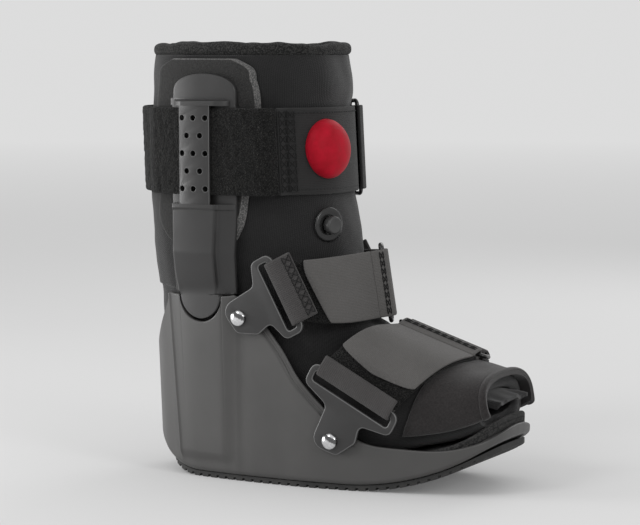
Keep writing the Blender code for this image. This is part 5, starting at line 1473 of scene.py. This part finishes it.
def add_strut(name, side):
    """Strut as a height field: rings across it from its foot to its top, outer face one way and back."""
    low, high = strut_window()
    across = 0.25 * np.sin(np.linspace(-math.pi / 2, math.pi / 2, 91)) + 0.75 * np.linspace(-1, 1, 91)
    ledge_top = high + LEDGE_HEIGHT
    start = ledge_top + LEDGE_STEP
    heights = np.concatenate([
        CUFF_HEIGHT - (NOTCH_DEPTH - NOTCH_FIT) * np.sin(np.linspace(math.pi / 2, 0, 26)),
        np.linspace(CUFF_HEIGHT + 0.0006, PANEL_TOP - 0.002, 50),
        np.linspace(PANEL_TOP - 0.0018, PANEL_TOP + 0.0025, 12),
        [low - 0.0010, low - 0.0004, low - NEAR_STEP, low],
        np.linspace(low + 0.001, high - 0.0005, 16),
        [high - NEAR_STEP, high + NEAR_STEP],
        np.linspace(high + 0.0005, ledge_top - NEAR_STEP, 12),
        [ledge_top + NEAR_STEP],
        start + (STRUT_TOP - start) * np.sin(np.linspace(0, math.pi / 2, 46)),
    ])
    rings = []
    for z in heights:
        rear, front = (float(v) for v in strut_outline(np.array(z)))
        middle, half = (rear + front) / 2, (front - rear) / 2
        offset = middle + across * half
        x = STRUT_X + offset
        leg, wall = strut_inner(x, z), wall_side(x, z) + side_relief(x, z)
        thick = strut_thickness(offset, z)
        near = np.minimum(half - np.abs(across) * half, EDGE_ROUND) / EDGE_ROUND
        rounding = (1 - np.sqrt(np.clip(1 - (1 - near) ** 2, 0, 1))) * EDGE_ROUND
        mix = smoothstep(*FOOT_BLEND, z)
        foot_reach = np.clip(np.abs(x - NOTCH_X) - NOTCH_WIDTH / 2 + 0.004, 0, 0.006) / 0.006
        outer_body = leg + thick
        to_wall = (1 - mix) * (1 - foot_reach) * np.maximum(wall - outer_body, -0.003)
        outer = np.where(z < CUFF_HEIGHT, wall, outer_body + to_wall)
        inner = np.where(z <= CUFF_HEIGHT, wall - SHELL_WALL, leg)
        outer = np.maximum(outer - rounding, inner + 0.0004)
        height = np.full(len(x), z)
        outer_row = np.stack([x, side * outer, height], axis=-1)
        inner_row = np.stack([x, side * inner, height], axis=-1)
        rings.append(np.concatenate([outer_row, inner_row[::-1]]))
    add_piece(skin(f"{name}_moulding", rings, caps="wall", crease=55), "strut", [name])
    add_bridge(f"{name}_bridge", side)


def flat_shape(name, outlines, thick, edge):
    """Mesh of a flat plate with holes: the outlines filled, given a thickness and rounded edges."""
    curve = bpy.data.curves.new(name, "CURVE")
    curve.dimensions = "2D"
    curve.fill_mode = "BOTH"
    curve.extrude = thick / 2 - edge
    curve.bevel_depth = edge
    curve.bevel_resolution = 3
    curve.offset = -edge
    for points in outlines:
        spline = curve.splines.new("POLY")
        spline.points.add(len(points) - 1)
        spline.use_cyclic_u = True
        full = np.concatenate([points, np.zeros((len(points), 1)), np.ones((len(points), 1))], axis=1)
        spline.points.foreach_set("co", full.ravel())
    item = bpy.data.objects.new(name, curve)
    bpy.context.scene.collection.objects.link(item)
    mesh = bpy.data.meshes.new_from_object(item.evaluated_get(bpy.context.evaluated_depsgraph_get()))
    bpy.data.objects.remove(item, do_unlink=True)
    bpy.data.curves.remove(curve)
    shape = bmesh.new()
    shape.from_mesh(mesh)
    bmesh.ops.remove_doubles(shape, verts=shape.verts, dist=1e-6)
    shape.to_mesh(mesh)
    shape.free()
    mesh.name = name
    mesh.materials.clear()
    # The middle rows of the rounded edges get the edge mark, where the moulded finish paints a highlight in
    # pale grey.
    rise = np.array([abs(vertex.co.z) for vertex in mesh.vertices])
    mark(mesh, "edge", (rise > thick / 2 - 0.95 * edge) & (rise < thick / 2 - 0.05 * edge))
    return mesh


def placed(mesh, place):
    """The mesh with its points moved by a function from an array of points to an array."""
    points = np.empty(len(mesh.vertices) * 3)
    mesh.vertices.foreach_get("co", points)
    mesh.vertices.foreach_set("co", place(points.reshape(-1, 3)).ravel())
    mesh.update()
    shape = bmesh.new()
    shape.from_mesh(mesh)
    bmesh.ops.recalc_face_normals(shape, faces=shape.faces)
    shape.to_mesh(mesh)
    shape.free()
    mesh.shade_smooth()
    mesh.set_sharp_from_angle(angle=math.radians(50))
    return mesh


def add_bridge(name, side):
    """Slat over the strap with five rows of holes, three and two by turns, bent to the leg."""
    low, high = strut_window()
    low, high = low - 2 * STRUT_STEP + 0.001, high + STRUT_STEP
    half = BRIDGE_WIDTH / 2
    middle = CALF_STRAP_HEIGHT
    outlines = [rounded_box((-half, low - middle), (half, high - middle), BRIDGE_CORNER)]
    for row in range(5):
        rise = (2 - row) * HOLE_PITCH - HOLE_SHIFT
        outlines += [circle((place * SLAT_WIDTH, rise), HOLE_SIZE / 2, 20) for place in HOLE_ROWS[row % 2]]
    mesh = flat_shape(name, outlines, SLAT_THICKNESS, BRIDGE_EDGE)

    def onto_strut(points):
        x = STRUT_X - SLAT_SHIFT + points[:, 0]
        z = middle + points[:, 1]
        crown = BRIDGE_CROWN * (1 - (points[:, 0] / half) ** 2)
        out = strut_inner(x, z) + tunnel_depth() + SLAT_THICKNESS / 2 + points[:, 2] + crown - BRIDGE_EDGE
        return np.stack([x, side * out, z], axis=-1)

    add_piece(placed(mesh, onto_strut), "strut")


def add_pad(name, side):
    """Foam pad under a strut: the shield outline on the leg, a little crowned, its front edge cut at a slant
    that shows the pale foam."""
    outer, inner, cut = [], [], []
    across = np.concatenate([np.linspace(0, 0.86, 46), np.linspace(0.86, 1, 22)[1:]])
    for share in np.linspace(0, 1, 120):
        z = PAD_BOTTOM + share * (PAD_TOP - PAD_BOTTOM)
        rear = STRUT_X + hermite(column(PAD, "up"), column(PAD, "rear"), share) * LEG_DEPTH
        front = STRUT_X + hermite(column(PAD, "up"), column(PAD, "front"), share) * LEG_DEPTH
        around = leg_turn(rear, z) + across * (leg_turn(front, z) - leg_turn(rear, z))
        around = mirrored_turn(around, side)
        ends = min(1.0, min(share, 1 - share) / 0.02)
        soft = PAD_SOFT * (1 - np.clip(np.minimum(across / 0.05, ends), 0, 1) ** 0.5)
        slant = np.clip((across - 1 + PAD_SLANT / (front - rear)) * (front - rear) / PAD_SLANT, 0, 1)
        outer.append(leg_point(around, z, 2 * GAP + (PAD_THICKNESS - soft) * (1 - PAD_SLANT_DEPTH * slant)))
        inner.append(leg_point(around, z, 2 * GAP))
        cut.append(np.where(slant > 0.02, 1.0, 0.0))
    outer, inner, cut = np.array(outer), np.array(inner), np.array(cut)
    cut[:, 0] = cut[0] = cut[-1] = 1.0
    middle_row = (outer + inner)[:, [0, -1]] / 2
    rings = np.concatenate([outer, middle_row[:, 1:], inner[:, ::-1], middle_row[:, :1]], axis=1)
    mesh = skin(f"{name}_foam", rings, crease=60)
    pale = np.concatenate([cut, np.ones((len(cut), 1)), 0 * cut, np.full((len(cut), 1), 0.7)], axis=1)
    mark(mesh, "cut", pale)
    piece = add_piece(mesh, "pad", [name])


# Plates, rivets, rings and straps

def tube(name, path, radius):
    """Round wire along a closed path: circles square to it."""
    along = unit(np.roll(path, -1, axis=0) - np.roll(path, 1, axis=0))
    plane = unit(np.linalg.svd(path - path.mean(axis=0))[2][2])
    side = unit(np.cross(along, plane))
    around = full_turn(16)
    rings = path[:, None] + radius * (
        np.cos(around)[:, None] * side[:, None] + np.sin(around)[:, None] * plane[None, None]
    )
    return skin(name, rings, loop=True)


def add_plate(kind, name, side):
    """Strap plate: its outline with slot and rivet hole, set on the shell's side."""
    rivet, across, toward, out = plate_frame(kind, side)
    outline, window, hole = plate_outlines(PLATES[kind].strap)
    mesh = flat_shape(f"{name}_moulding", [outline, window, hole], PLATE_THICKNESS, PLATE_EDGE)

    def onto_shell(points):
        return rivet + points[:, :1] * across + points[:, 1:2] * toward + points[:, 2:] * out

    add_piece(placed(mesh, onto_shell), "strut", [name])


def add_rivet(kind, name, side):
    """Rivet: a low dome over a thin washer edge, on a shank."""
    rivet, _, _, out = plate_frame(kind, side)
    seat = PLATE_THICKNESS / 2 + GAP
    half = RIVET_HEAD / 2 * 0.98
    dome = np.radians(np.linspace(0, 88, 14))
    profile = [(RIVET_SHANK / 2, -PLATE_THICKNESS / 2), (RIVET_SHANK / 2, seat), (half * 0.98, seat)]
    profile += [(half, seat + 0.0003)]
    profile += [(half * 0.99 * math.cos(turn), seat + 0.0004 + RIVET_DOME * math.sin(turn)) for turn in dome]
    mesh = lathe(f"{name}_head", profile, rivet, out)
    # Painted reflection: the rise mark grows towards the world's up and the toe, and the rivet finish darkens
    # a band of the dome by it.
    points = np.array([vertex.co for vertex in mesh.vertices]) - rivet
    mark(mesh, "rise", (points[:, 2] + 0.5 * points[:, 0]) / half)
    add_piece(mesh, "chrome", [name])


def add_ring(name, near, far, bar, length):
    """Rounded oblong of wire round two bars."""
    way = unit(far - near)
    half, reach = np.linalg.norm(far - near) / 2, length / 2
    flat = rounded_box((-half, -reach), (half, reach), RING_CORNER, 8)
    path = (near + far) / 2 + flat[:, :1] * way + flat[:, 1:] * bar
    add_piece(tube(f"{name}_wire", path, RING_WIRE / 2), "gloss", [name])


# Sewn ends of a strap: laps of one piece over the next, what a fold is cut back by, where a seam starts from
# its fold's end and how long it is along the strap; and the depth and seed of the two kinds of looped pile.

SEAM_LAP = 0.0012
FOLD_TRIM = {"ankle": 0.0, "toe": 0.0055}
SEWN_FOLDS = ("ankle",)
STEADY = 12
SEAM_START = 0.0008
SEAM_LENGTH = 0.0062
FOLD_PLUMP = 0.0002
THREAD_RISE = 0.0002
FOOT_PILE = (0.00024, 31)
CALF_PILE = (0.00038, 41)
CROSS_PITCH = 0.0060
CROSS_RADIUS = 0.00035
TAB_LAP = 0.0010
TAB_SEAM_START = 0.0004
TAB_SEAM_LENGTH = 0.0030


def pile_lift(depth, seed):
    """Uneven rise of looped pile over a strap, by its share across and its length."""
    def lift(share, length):
        place = np.stack(np.broadcast_arrays(share * 0.024, length, 0 * share * length), axis=-1)
        return depth * (ripple(place, 0.0042, seed, 14) + 0.6 * ripple(place, 0.011, seed + 1))
    return lift


def cross_stitch(name, line, width, face, spans):
    """Rows of crossed threads over a strap: from one edge of each span of its length to the other."""
    length = lengths(line)

    def spot(at, share, lift):
        base, side, out = (read_off(linear, length, table, at) for table in (line, width, face))
        return base + side * share[:, None] + unit(out) * lift, unit(out)

    starts, ends, bows = [], [], []
    for first, last, lift in spans:
        full = np.linalg.norm(width[0])
        number = int(2 * full / CROSS_PITCH)
        edge = np.linspace(-0.94, 0.94, number + 1)
        for a, b in ((first, last), (last, first)):
            here, out = spot(np.full(number, a), edge[:-1], lift)
            there, _ = spot(np.full(number, b), edge[1:], lift)
            starts.append(here)
            ends.append(there)
            bows.append(out)
        for at in (first, last):
            here, out = spot(np.full(number, at), edge[:-1], lift)
            there, _ = spot(np.full(number, at), edge[1:], lift)
            starts.append(here + (there - here) * 0.08)
            ends.append(there - (there - here) * 0.08)
            bows.append(out)
    mesh = stitches(name, np.concatenate(starts), np.concatenate(ends), CROSS_RADIUS, np.concatenate(bows))
    return add_piece(mesh, "thread")


def stretch_of(line, width, first, last):
    """The part of a strap between two lengths along it."""
    at = np.linspace(first, last, 160)
    part = read_off(hermite, lengths(line), np.concatenate([line, width], axis=1), at)
    return part[:, :3], part[:, 3:]


def facing(line, width, out, steady=STEADY):
    """Directions square to a strap, on the side that a given direction names at its first points."""
    face = unit(np.cross(np.gradient(line, axis=0), width))
    return face * np.sign((face[:steady] @ out).sum())


def add_strap_set(kind):
    """Plates, rivets, ring and anchor strap; the strap as a webbing fold round the plate's bar, pile over the
    foot and a webbing fold round the ring's bar; and its loose end on top."""
    ring, plate = RINGS[kind], PLATES[kind]
    for name, side in (("lateral", -1), ("medial", 1)):
        add_plate(kind, f"{kind}_plate_{name}", side)
        add_rivet(kind, f"rivet_{kind}_{name}", side)
    bar = unit(ring.bar)
    way = square_to(ring.way, bar)
    near = np.array([HEEL_X + ring.along * SOLE_LENGTH, ring.side * HALF_WIDTH, ring.up * INSTEP_HEIGHT])
    far = near + way * (RING_GAP + RING_WIRE)
    add_ring(f"{kind}_ring", near, far, bar, plate.strap + 2 * RING_CORNER + 2 * GAP)
    anchor, anchor_width, _, _ = strap_route(kind, 1, far, -way, bar)
    mesh = band(f"{kind}_anchor_webbing", anchor, anchor_width, STRAP_THICKNESS, count=120)
    anchor_piece = add_piece(mesh, "webbing", [f"{kind}_anchor_strap"])

    line, width, free, out = strap_route(kind, -1, near, np.array(ring.arrive), bar)
    whole = path_length(line)
    at_plate, at_ring = path_length(line[:free.start + 1]), path_length(line[:free.stop])
    fold_line, fold_width = stretch_of(line, width, FOLD_TRIM[kind], at_plate + SEAM_LAP)
    mesh = band(f"{kind}_strap_fold", fold_line, fold_width, STRAP_THICKNESS + FOLD_PLUMP, count=120)
    fold = add_piece(mesh, "webbing", [f"{kind}_strap"])
    threads = []
    lift = STRAP_THICKNESS / 2 + FOLD_PLUMP / 2 + THREAD_RISE
    if kind in SEWN_FOLDS:
        face = facing(fold_line, fold_width, out)
        spans = [(SEAM_START, SEAM_START + SEAM_LENGTH, lift)]
        threads = [cross_stitch(f"{kind}_strap_threads", fold_line, fold_width, face, spans)]
    pile_line, pile_width = stretch_of(line, width, at_plate, at_ring - SEAM_LAP)
    mesh = band(f"{kind}_strap_pile", pile_line, pile_width, STRAP_THICKNESS, count=150, stations=34,
                lift=pile_lift(*FOOT_PILE))
    pile = add_piece(mesh, "pile")
    turn_line, turn_width = stretch_of(line, width, at_ring - 2 * SEAM_LAP, whole)
    mesh = band(f"{kind}_ring_fold", turn_line, turn_width, STRAP_THICKNESS + FOLD_PLUMP, count=80)
    turned_end = add_piece(mesh, "tab")
    back_line, back_width = turn_line[::-1], turn_width[::-1]
    seam_end = RING_FOLD - TAB_SEAM_START
    seam = cross_stitch(f"{kind}_ring_threads", back_line, back_width, facing(back_line, back_width, out),
                        [(seam_end - TAB_SEAM_LENGTH, seam_end, lift)])

    stretch, sides = line[free][::-1], width[free][::-1]
    face = facing(stretch, sides, out)
    tab = stretch + face * ((STRAP_THICKNESS + TAB_THICKNESS) / 2 + TAB_CLEARANCE)
    length = lengths(tab)
    start = RING_FOLD - TAB_LAP
    end = length[-1] * TABS[kind].length
    share = 1 - (1 - np.linspace(0, 1, 90)) ** 2.2
    stops = start + (end - start) * share
    line_tab, sides_tab = (read_off(hermite, length, table, stops) for table in (tab, sides))
    low, high = tab_edges(kind, share)
    rings = band_rings(line_tab, sides_tab, TAB_THICKNESS, low, high, 30)
    loose = add_piece(skin(f"{kind}_tab_webbing", rings), "tab", [f"{kind}_tab"])
    min(strip_area(line_tab, sides_tab, low, high), plate.strap * (end - start))


# Calf strap, bulb and valve: where the tape's two rows of crossed threads begin and end from the seam, and
# the outward direction at the panel

HEM_RISE = 0.0001
HEM_PITCH = 0.0030
HEM_THREAD = 0.72 * HEM_PITCH
HEM_RADIUS = 0.00028
TAPE_SPANS = ((0.0015, 0.0075), (0.0085, 0.0145))
FRONT_OUT = (1.0, -1.0, 0.0)


def calf_line(turns_along, thick, bar=None):
    """Middle line and width vectors of a band round the leg, which may end in a fold round a ring's bar."""
    line = calf_point(turns_along, calf_out(turns_along) + thick / 2)
    across = calf_across(turns_along)
    if bar is not None:
        ring_bar = unit(calf_across(RING_TURN))
        run = square_to(line[-1] - line[-2], ring_bar)
        out = np.cross(run, ring_bar)
        out *= np.sign(out @ (bar - calf_point(RING_TURN, 0.0)))
        fold = hook(bar, -run, out, (RING_WIRE / 2, RING_WIRE / 2), RING_FOLD, thick)
        line = np.concatenate([line, fold])
        across = np.concatenate([across, np.tile(ring_bar * CALF_STRAP_WIDTH / 2, (len(fold), 1))])
    return line, across


def edge_stitches(name, line, width, thick, shares, first, last):
    """Rows of short threads along a strap at shares of its half width."""
    length = lengths(line)
    at = np.arange(first, last, HEM_PITCH)
    here, there = (read_off(linear, length, line, at + reach) for reach in (0.0, HEM_THREAD))
    out = unit(read_off(linear, length, facing(line, width, FRONT_OUT, None), at))
    lift = out * (thick / 2 + HEM_RISE)
    starts = [here + width[0] * share + lift for share in shares]
    ends = [there + width[0] * share + lift for share in shares]
    bows = np.tile(out, (len(shares), 1))
    return stitches(name, np.concatenate(starts), np.concatenate(ends), HEM_RADIUS, bows)


def add_calf_set():
    """Pile strap round the back through both struts, front panel with sewn hems, ring and folded end."""
    step = turn_per_metre(RING_TURN)
    far_turn = RING_TURN + (RING_GAP + RING_WIRE) * step
    near, far = calf_point(np.array([RING_TURN, far_turn]), RING_STAND)
    bar = unit(calf_across(RING_TURN))
    far = near + square_to(far - near, bar) * (RING_GAP + RING_WIRE)
    add_ring("calf_ring", near, far, bar, CALF_STRAP_WIDTH + 2 * RING_CORNER + 2 * GAP)
    before = RING_BEFORE * step
    line, width = calf_line(np.linspace(CALF_SEAM, RING_TURN - before, 40), STRAP_THICKNESS, near)
    mesh = band("calf_panel_cloth", line, width, STRAP_THICKNESS, count=140, stations=30)
    panel = add_piece(mesh, "panel", ["calf_panel"])
    whole = path_length(line[:40])
    hems = edge_stitches("calf_panel_hems", line, width, STRAP_THICKNESS, (-0.88, 0.88), 0.008, whole)
    hem_threads = add_piece(hems, "thread")
    spans = [(*span, STRAP_THICKNESS / 2 + HEM_RISE) for span in TAPE_SPANS]
    tape = cross_stitch("calf_panel_tape", line, width, facing(line, width, FRONT_OUT, 30), spans)

    turns_round = np.linspace(CALF_SEAM - math.radians(0.6), far_turn + before - 2 * math.pi, 150)
    line, width = calf_line(turns_round, CALF_STRAP_THICKNESS, far)
    mesh = band("calf_strap_pile", line, width, CALF_STRAP_THICKNESS, count=330, stations=56,
                lift=pile_lift(*CALF_PILE))
    strap = add_piece(mesh, "pile", ["calf_strap"])

    tab_start = far_turn + (RING_FOLD + RING_BEFORE / 2) * step
    tab = np.linspace(tab_start, CALF_TAB_END, 30)
    line = calf_point(tab, calf_out(tab) + CALF_STRAP_THICKNESS + TAB_CLEARANCE + TAB_THICKNESS / 2)
    width = calf_across(tab)
    mesh = band("calf_tab_webbing", line, width, TAB_THICKNESS, count=40)
    loose = add_piece(mesh, "tab", ["calf_tab"])


def add_bulb():
    """Pump bulb: the dome's radius and rise, smooth between its rows, on the panel's curve."""
    around = full_turn(96)
    foot = STRAP_CLEARANCE + STRAP_THICKNESS + GAP
    at = np.linspace(0, len(DOME) - 1, 50)
    rings = []
    for radius, rise in read_off(hermite, np.arange(len(DOME)), np.array(DOME), at):
        reach = max(radius, 0.0) * BULB_DIAMETER / 2
        turn = BULB_TURN + reach * np.cos(around) * turn_per_metre(BULB_TURN)
        height = CALF_STRAP_HEIGHT + BULB_RISE + reach * np.sin(around)
        rings.append(calf_point(turn, foot + max(rise, 0.0) * BULB_DOME, height))
    add_piece(skin("pump_bulb_dome", rings), "bulb", ["pump_bulb"])


def add_valve():
    """Release valve: a dished cup and a ribbed knob that is pressed into it."""
    here, outward = leg_frame(VALVE_TURN, VALVE_HEIGHT)
    well = VALVE_BUTTON / 2 + GAP
    half, high = VALVE_BASE / 2, VALVE_BASE_HEIGHT
    cup = ((0.3 * half, 0.0006), (0.97 * half, 0.0006), (half, 0.0010), (half, 0.62 * high),
           (0.97 * half, 0.8 * high), (0.9 * half, 0.92 * high), (0.8 * half, high), (well + 0.0006, high),
           (well + 0.0001, 0.93 * high), (well, 0.8 * high), (well, VALVE_WELL), (0.02 * well, VALVE_WELL))
    add_piece(lathe("valve_cup", cup, here, outward), "gloss", ["valve_base"])
    low = VALVE_WELL + GAP + VALVE_TRAVEL
    top = low + VALVE_BUTTON_HEIGHT
    radius = VALVE_BUTTON / 2
    knob = ((0.05 * radius, low), (0.92 * radius, low), (radius, low + 0.0006), (radius, top - 0.0012),
            (0.96 * radius, top - 0.0005), (0.86 * radius, top - 0.0001), (0.74 * radius, top),
            (0.62 * radius, top - 0.0003), (0.05 * radius, top - 0.0005))
    add_piece(lathe("valve_knob", knob, here, outward, 12), "knob", ["valve_button"], body="valve_button")


# Stage, light and camera

CAMERA_AT = (0.789, -1.618, 0.315)
CAMERA_AIM = (0.0, 0.0, 0.154)
CAMERA_LENS = 140.3
FLOOR_REACH = 60.0
FLOOR_PALE = 0.86
# The floor's colour near the boot is a painted shade, darker than its pale far colour, which it fades into
# further out.
FLOOR_NEAR_SHADE = 0.60
FLOOR_FADE = (1.0, 6.0)
ROOM_LIGHT = 0.72


def aimed(item, at, aim):
    item.location = at
    item.rotation_euler = (Vector(aim) - Vector(at)).to_track_quat("-Z", "Y").to_euler()
    bpy.context.scene.collection.objects.link(item)


def add_light(name, at, aim, size, power_watts):
    light = bpy.data.lights.new(name, "AREA")
    light.shape = "DISK"
    light.size = size
    light.energy = power_watts
    aimed(bpy.data.objects.new(name, light), at, aim)


Light = namedtuple("Light", "name at aim size watts")
LIGHTS = (
    Light("key", (-0.55, -1.25, 1.35), (0.0, 0.0, 0.15), 0.55, 5.0),
    Light("heel_side", (-1.25, -0.55, 0.25), (-0.05, 0.0, 0.06), 0.7, 11.0),
    Light("toe_side", (1.35, -0.7, 0.75), (0.05, 0.0, 0.10), 0.5, 5.0),
    Light("back", (0.2, 1.4, 1.0), (0.0, 0.0, 0.2), 0.9, 4.0),
)


def add_stage():
    """Wide pale floor with a painted glow that brings it up to the brightness of the room, painted shade that
    darkens it near the boot, and soft lights from four sides.
    """
    mesh = bpy.data.meshes.new("floor")
    side = FLOOR_REACH
    corners = [(-side, -side, 0), (side, -side, 0), (side, side, 0), (-side, side, 0)]
    mesh.from_pydata(corners, [], [(0, 1, 2, 3)])
    made = Finish("floor_paper", Specular_IOR_Level=0.0, Emission_Strength=1.0)
    # Painted glow: the floor emits light so that its far part is as bright as the room.
    painted_glow = ROOM_LIGHT * (1 - FLOOR_PALE)
    made.shader.inputs["Emission Color"].default_value = (painted_glow, painted_glow, painted_glow, 1.0)
    away = made.node("ShaderNodeVectorMath", {"operation": "LENGTH"}, {0: made.place()}, out=1)
    # Painted shade: the floor's colour is darker near the boot and fades to its pale far colour between the
    # two distances.
    made.colour(made.mix(made.steer(away, *FLOOR_FADE), (FLOOR_NEAR_SHADE,) * 3, (FLOOR_PALE,) * 3))
    made.shader.inputs["Roughness"].default_value = 1.0
    mesh.materials.append(made.material)
    floor = bpy.data.objects.new("floor", mesh)
    bpy.context.scene.collection.objects.link(floor)
    world = bpy.data.worlds.new("room")
    world.use_nodes = True
    world.node_tree.nodes["Background"].inputs["Color"].default_value = (1.0, 1.0, 1.0, 1.0)
    world.node_tree.nodes["Background"].inputs["Strength"].default_value = ROOM_LIGHT
    bpy.context.scene.world = world
    for row in LIGHTS:
        add_light(*row)
    camera = bpy.data.cameras.new("photo_view")
    camera.lens = CAMERA_LENS
    camera.sensor_width = 36.0
    item = bpy.data.objects.new("photo_view", camera)
    aimed(item, CAMERA_AT, CAMERA_AIM)
    bpy.context.scene.camera = item
    bpy.context.scene.view_settings.view_transform = "Standard"


def main():
    add_shell()
    add_footbed()
    add_liner()
    add_collar()
    add_toe_flap()
    add_underflap()
    for name, side in (("lateral", -1), ("medial", 1)):
        add_strut("strut_" + name, side)
        add_pad("strut_pad_" + name, side)
    for kind in PLATES:
        add_strap_set(kind)
    add_calf_set()
    add_bulb()
    add_valve()
    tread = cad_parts["outsole"]
    for place in tread.material_slots:
        place.material = FINISHES["rubber"]
    add_stage()


main()
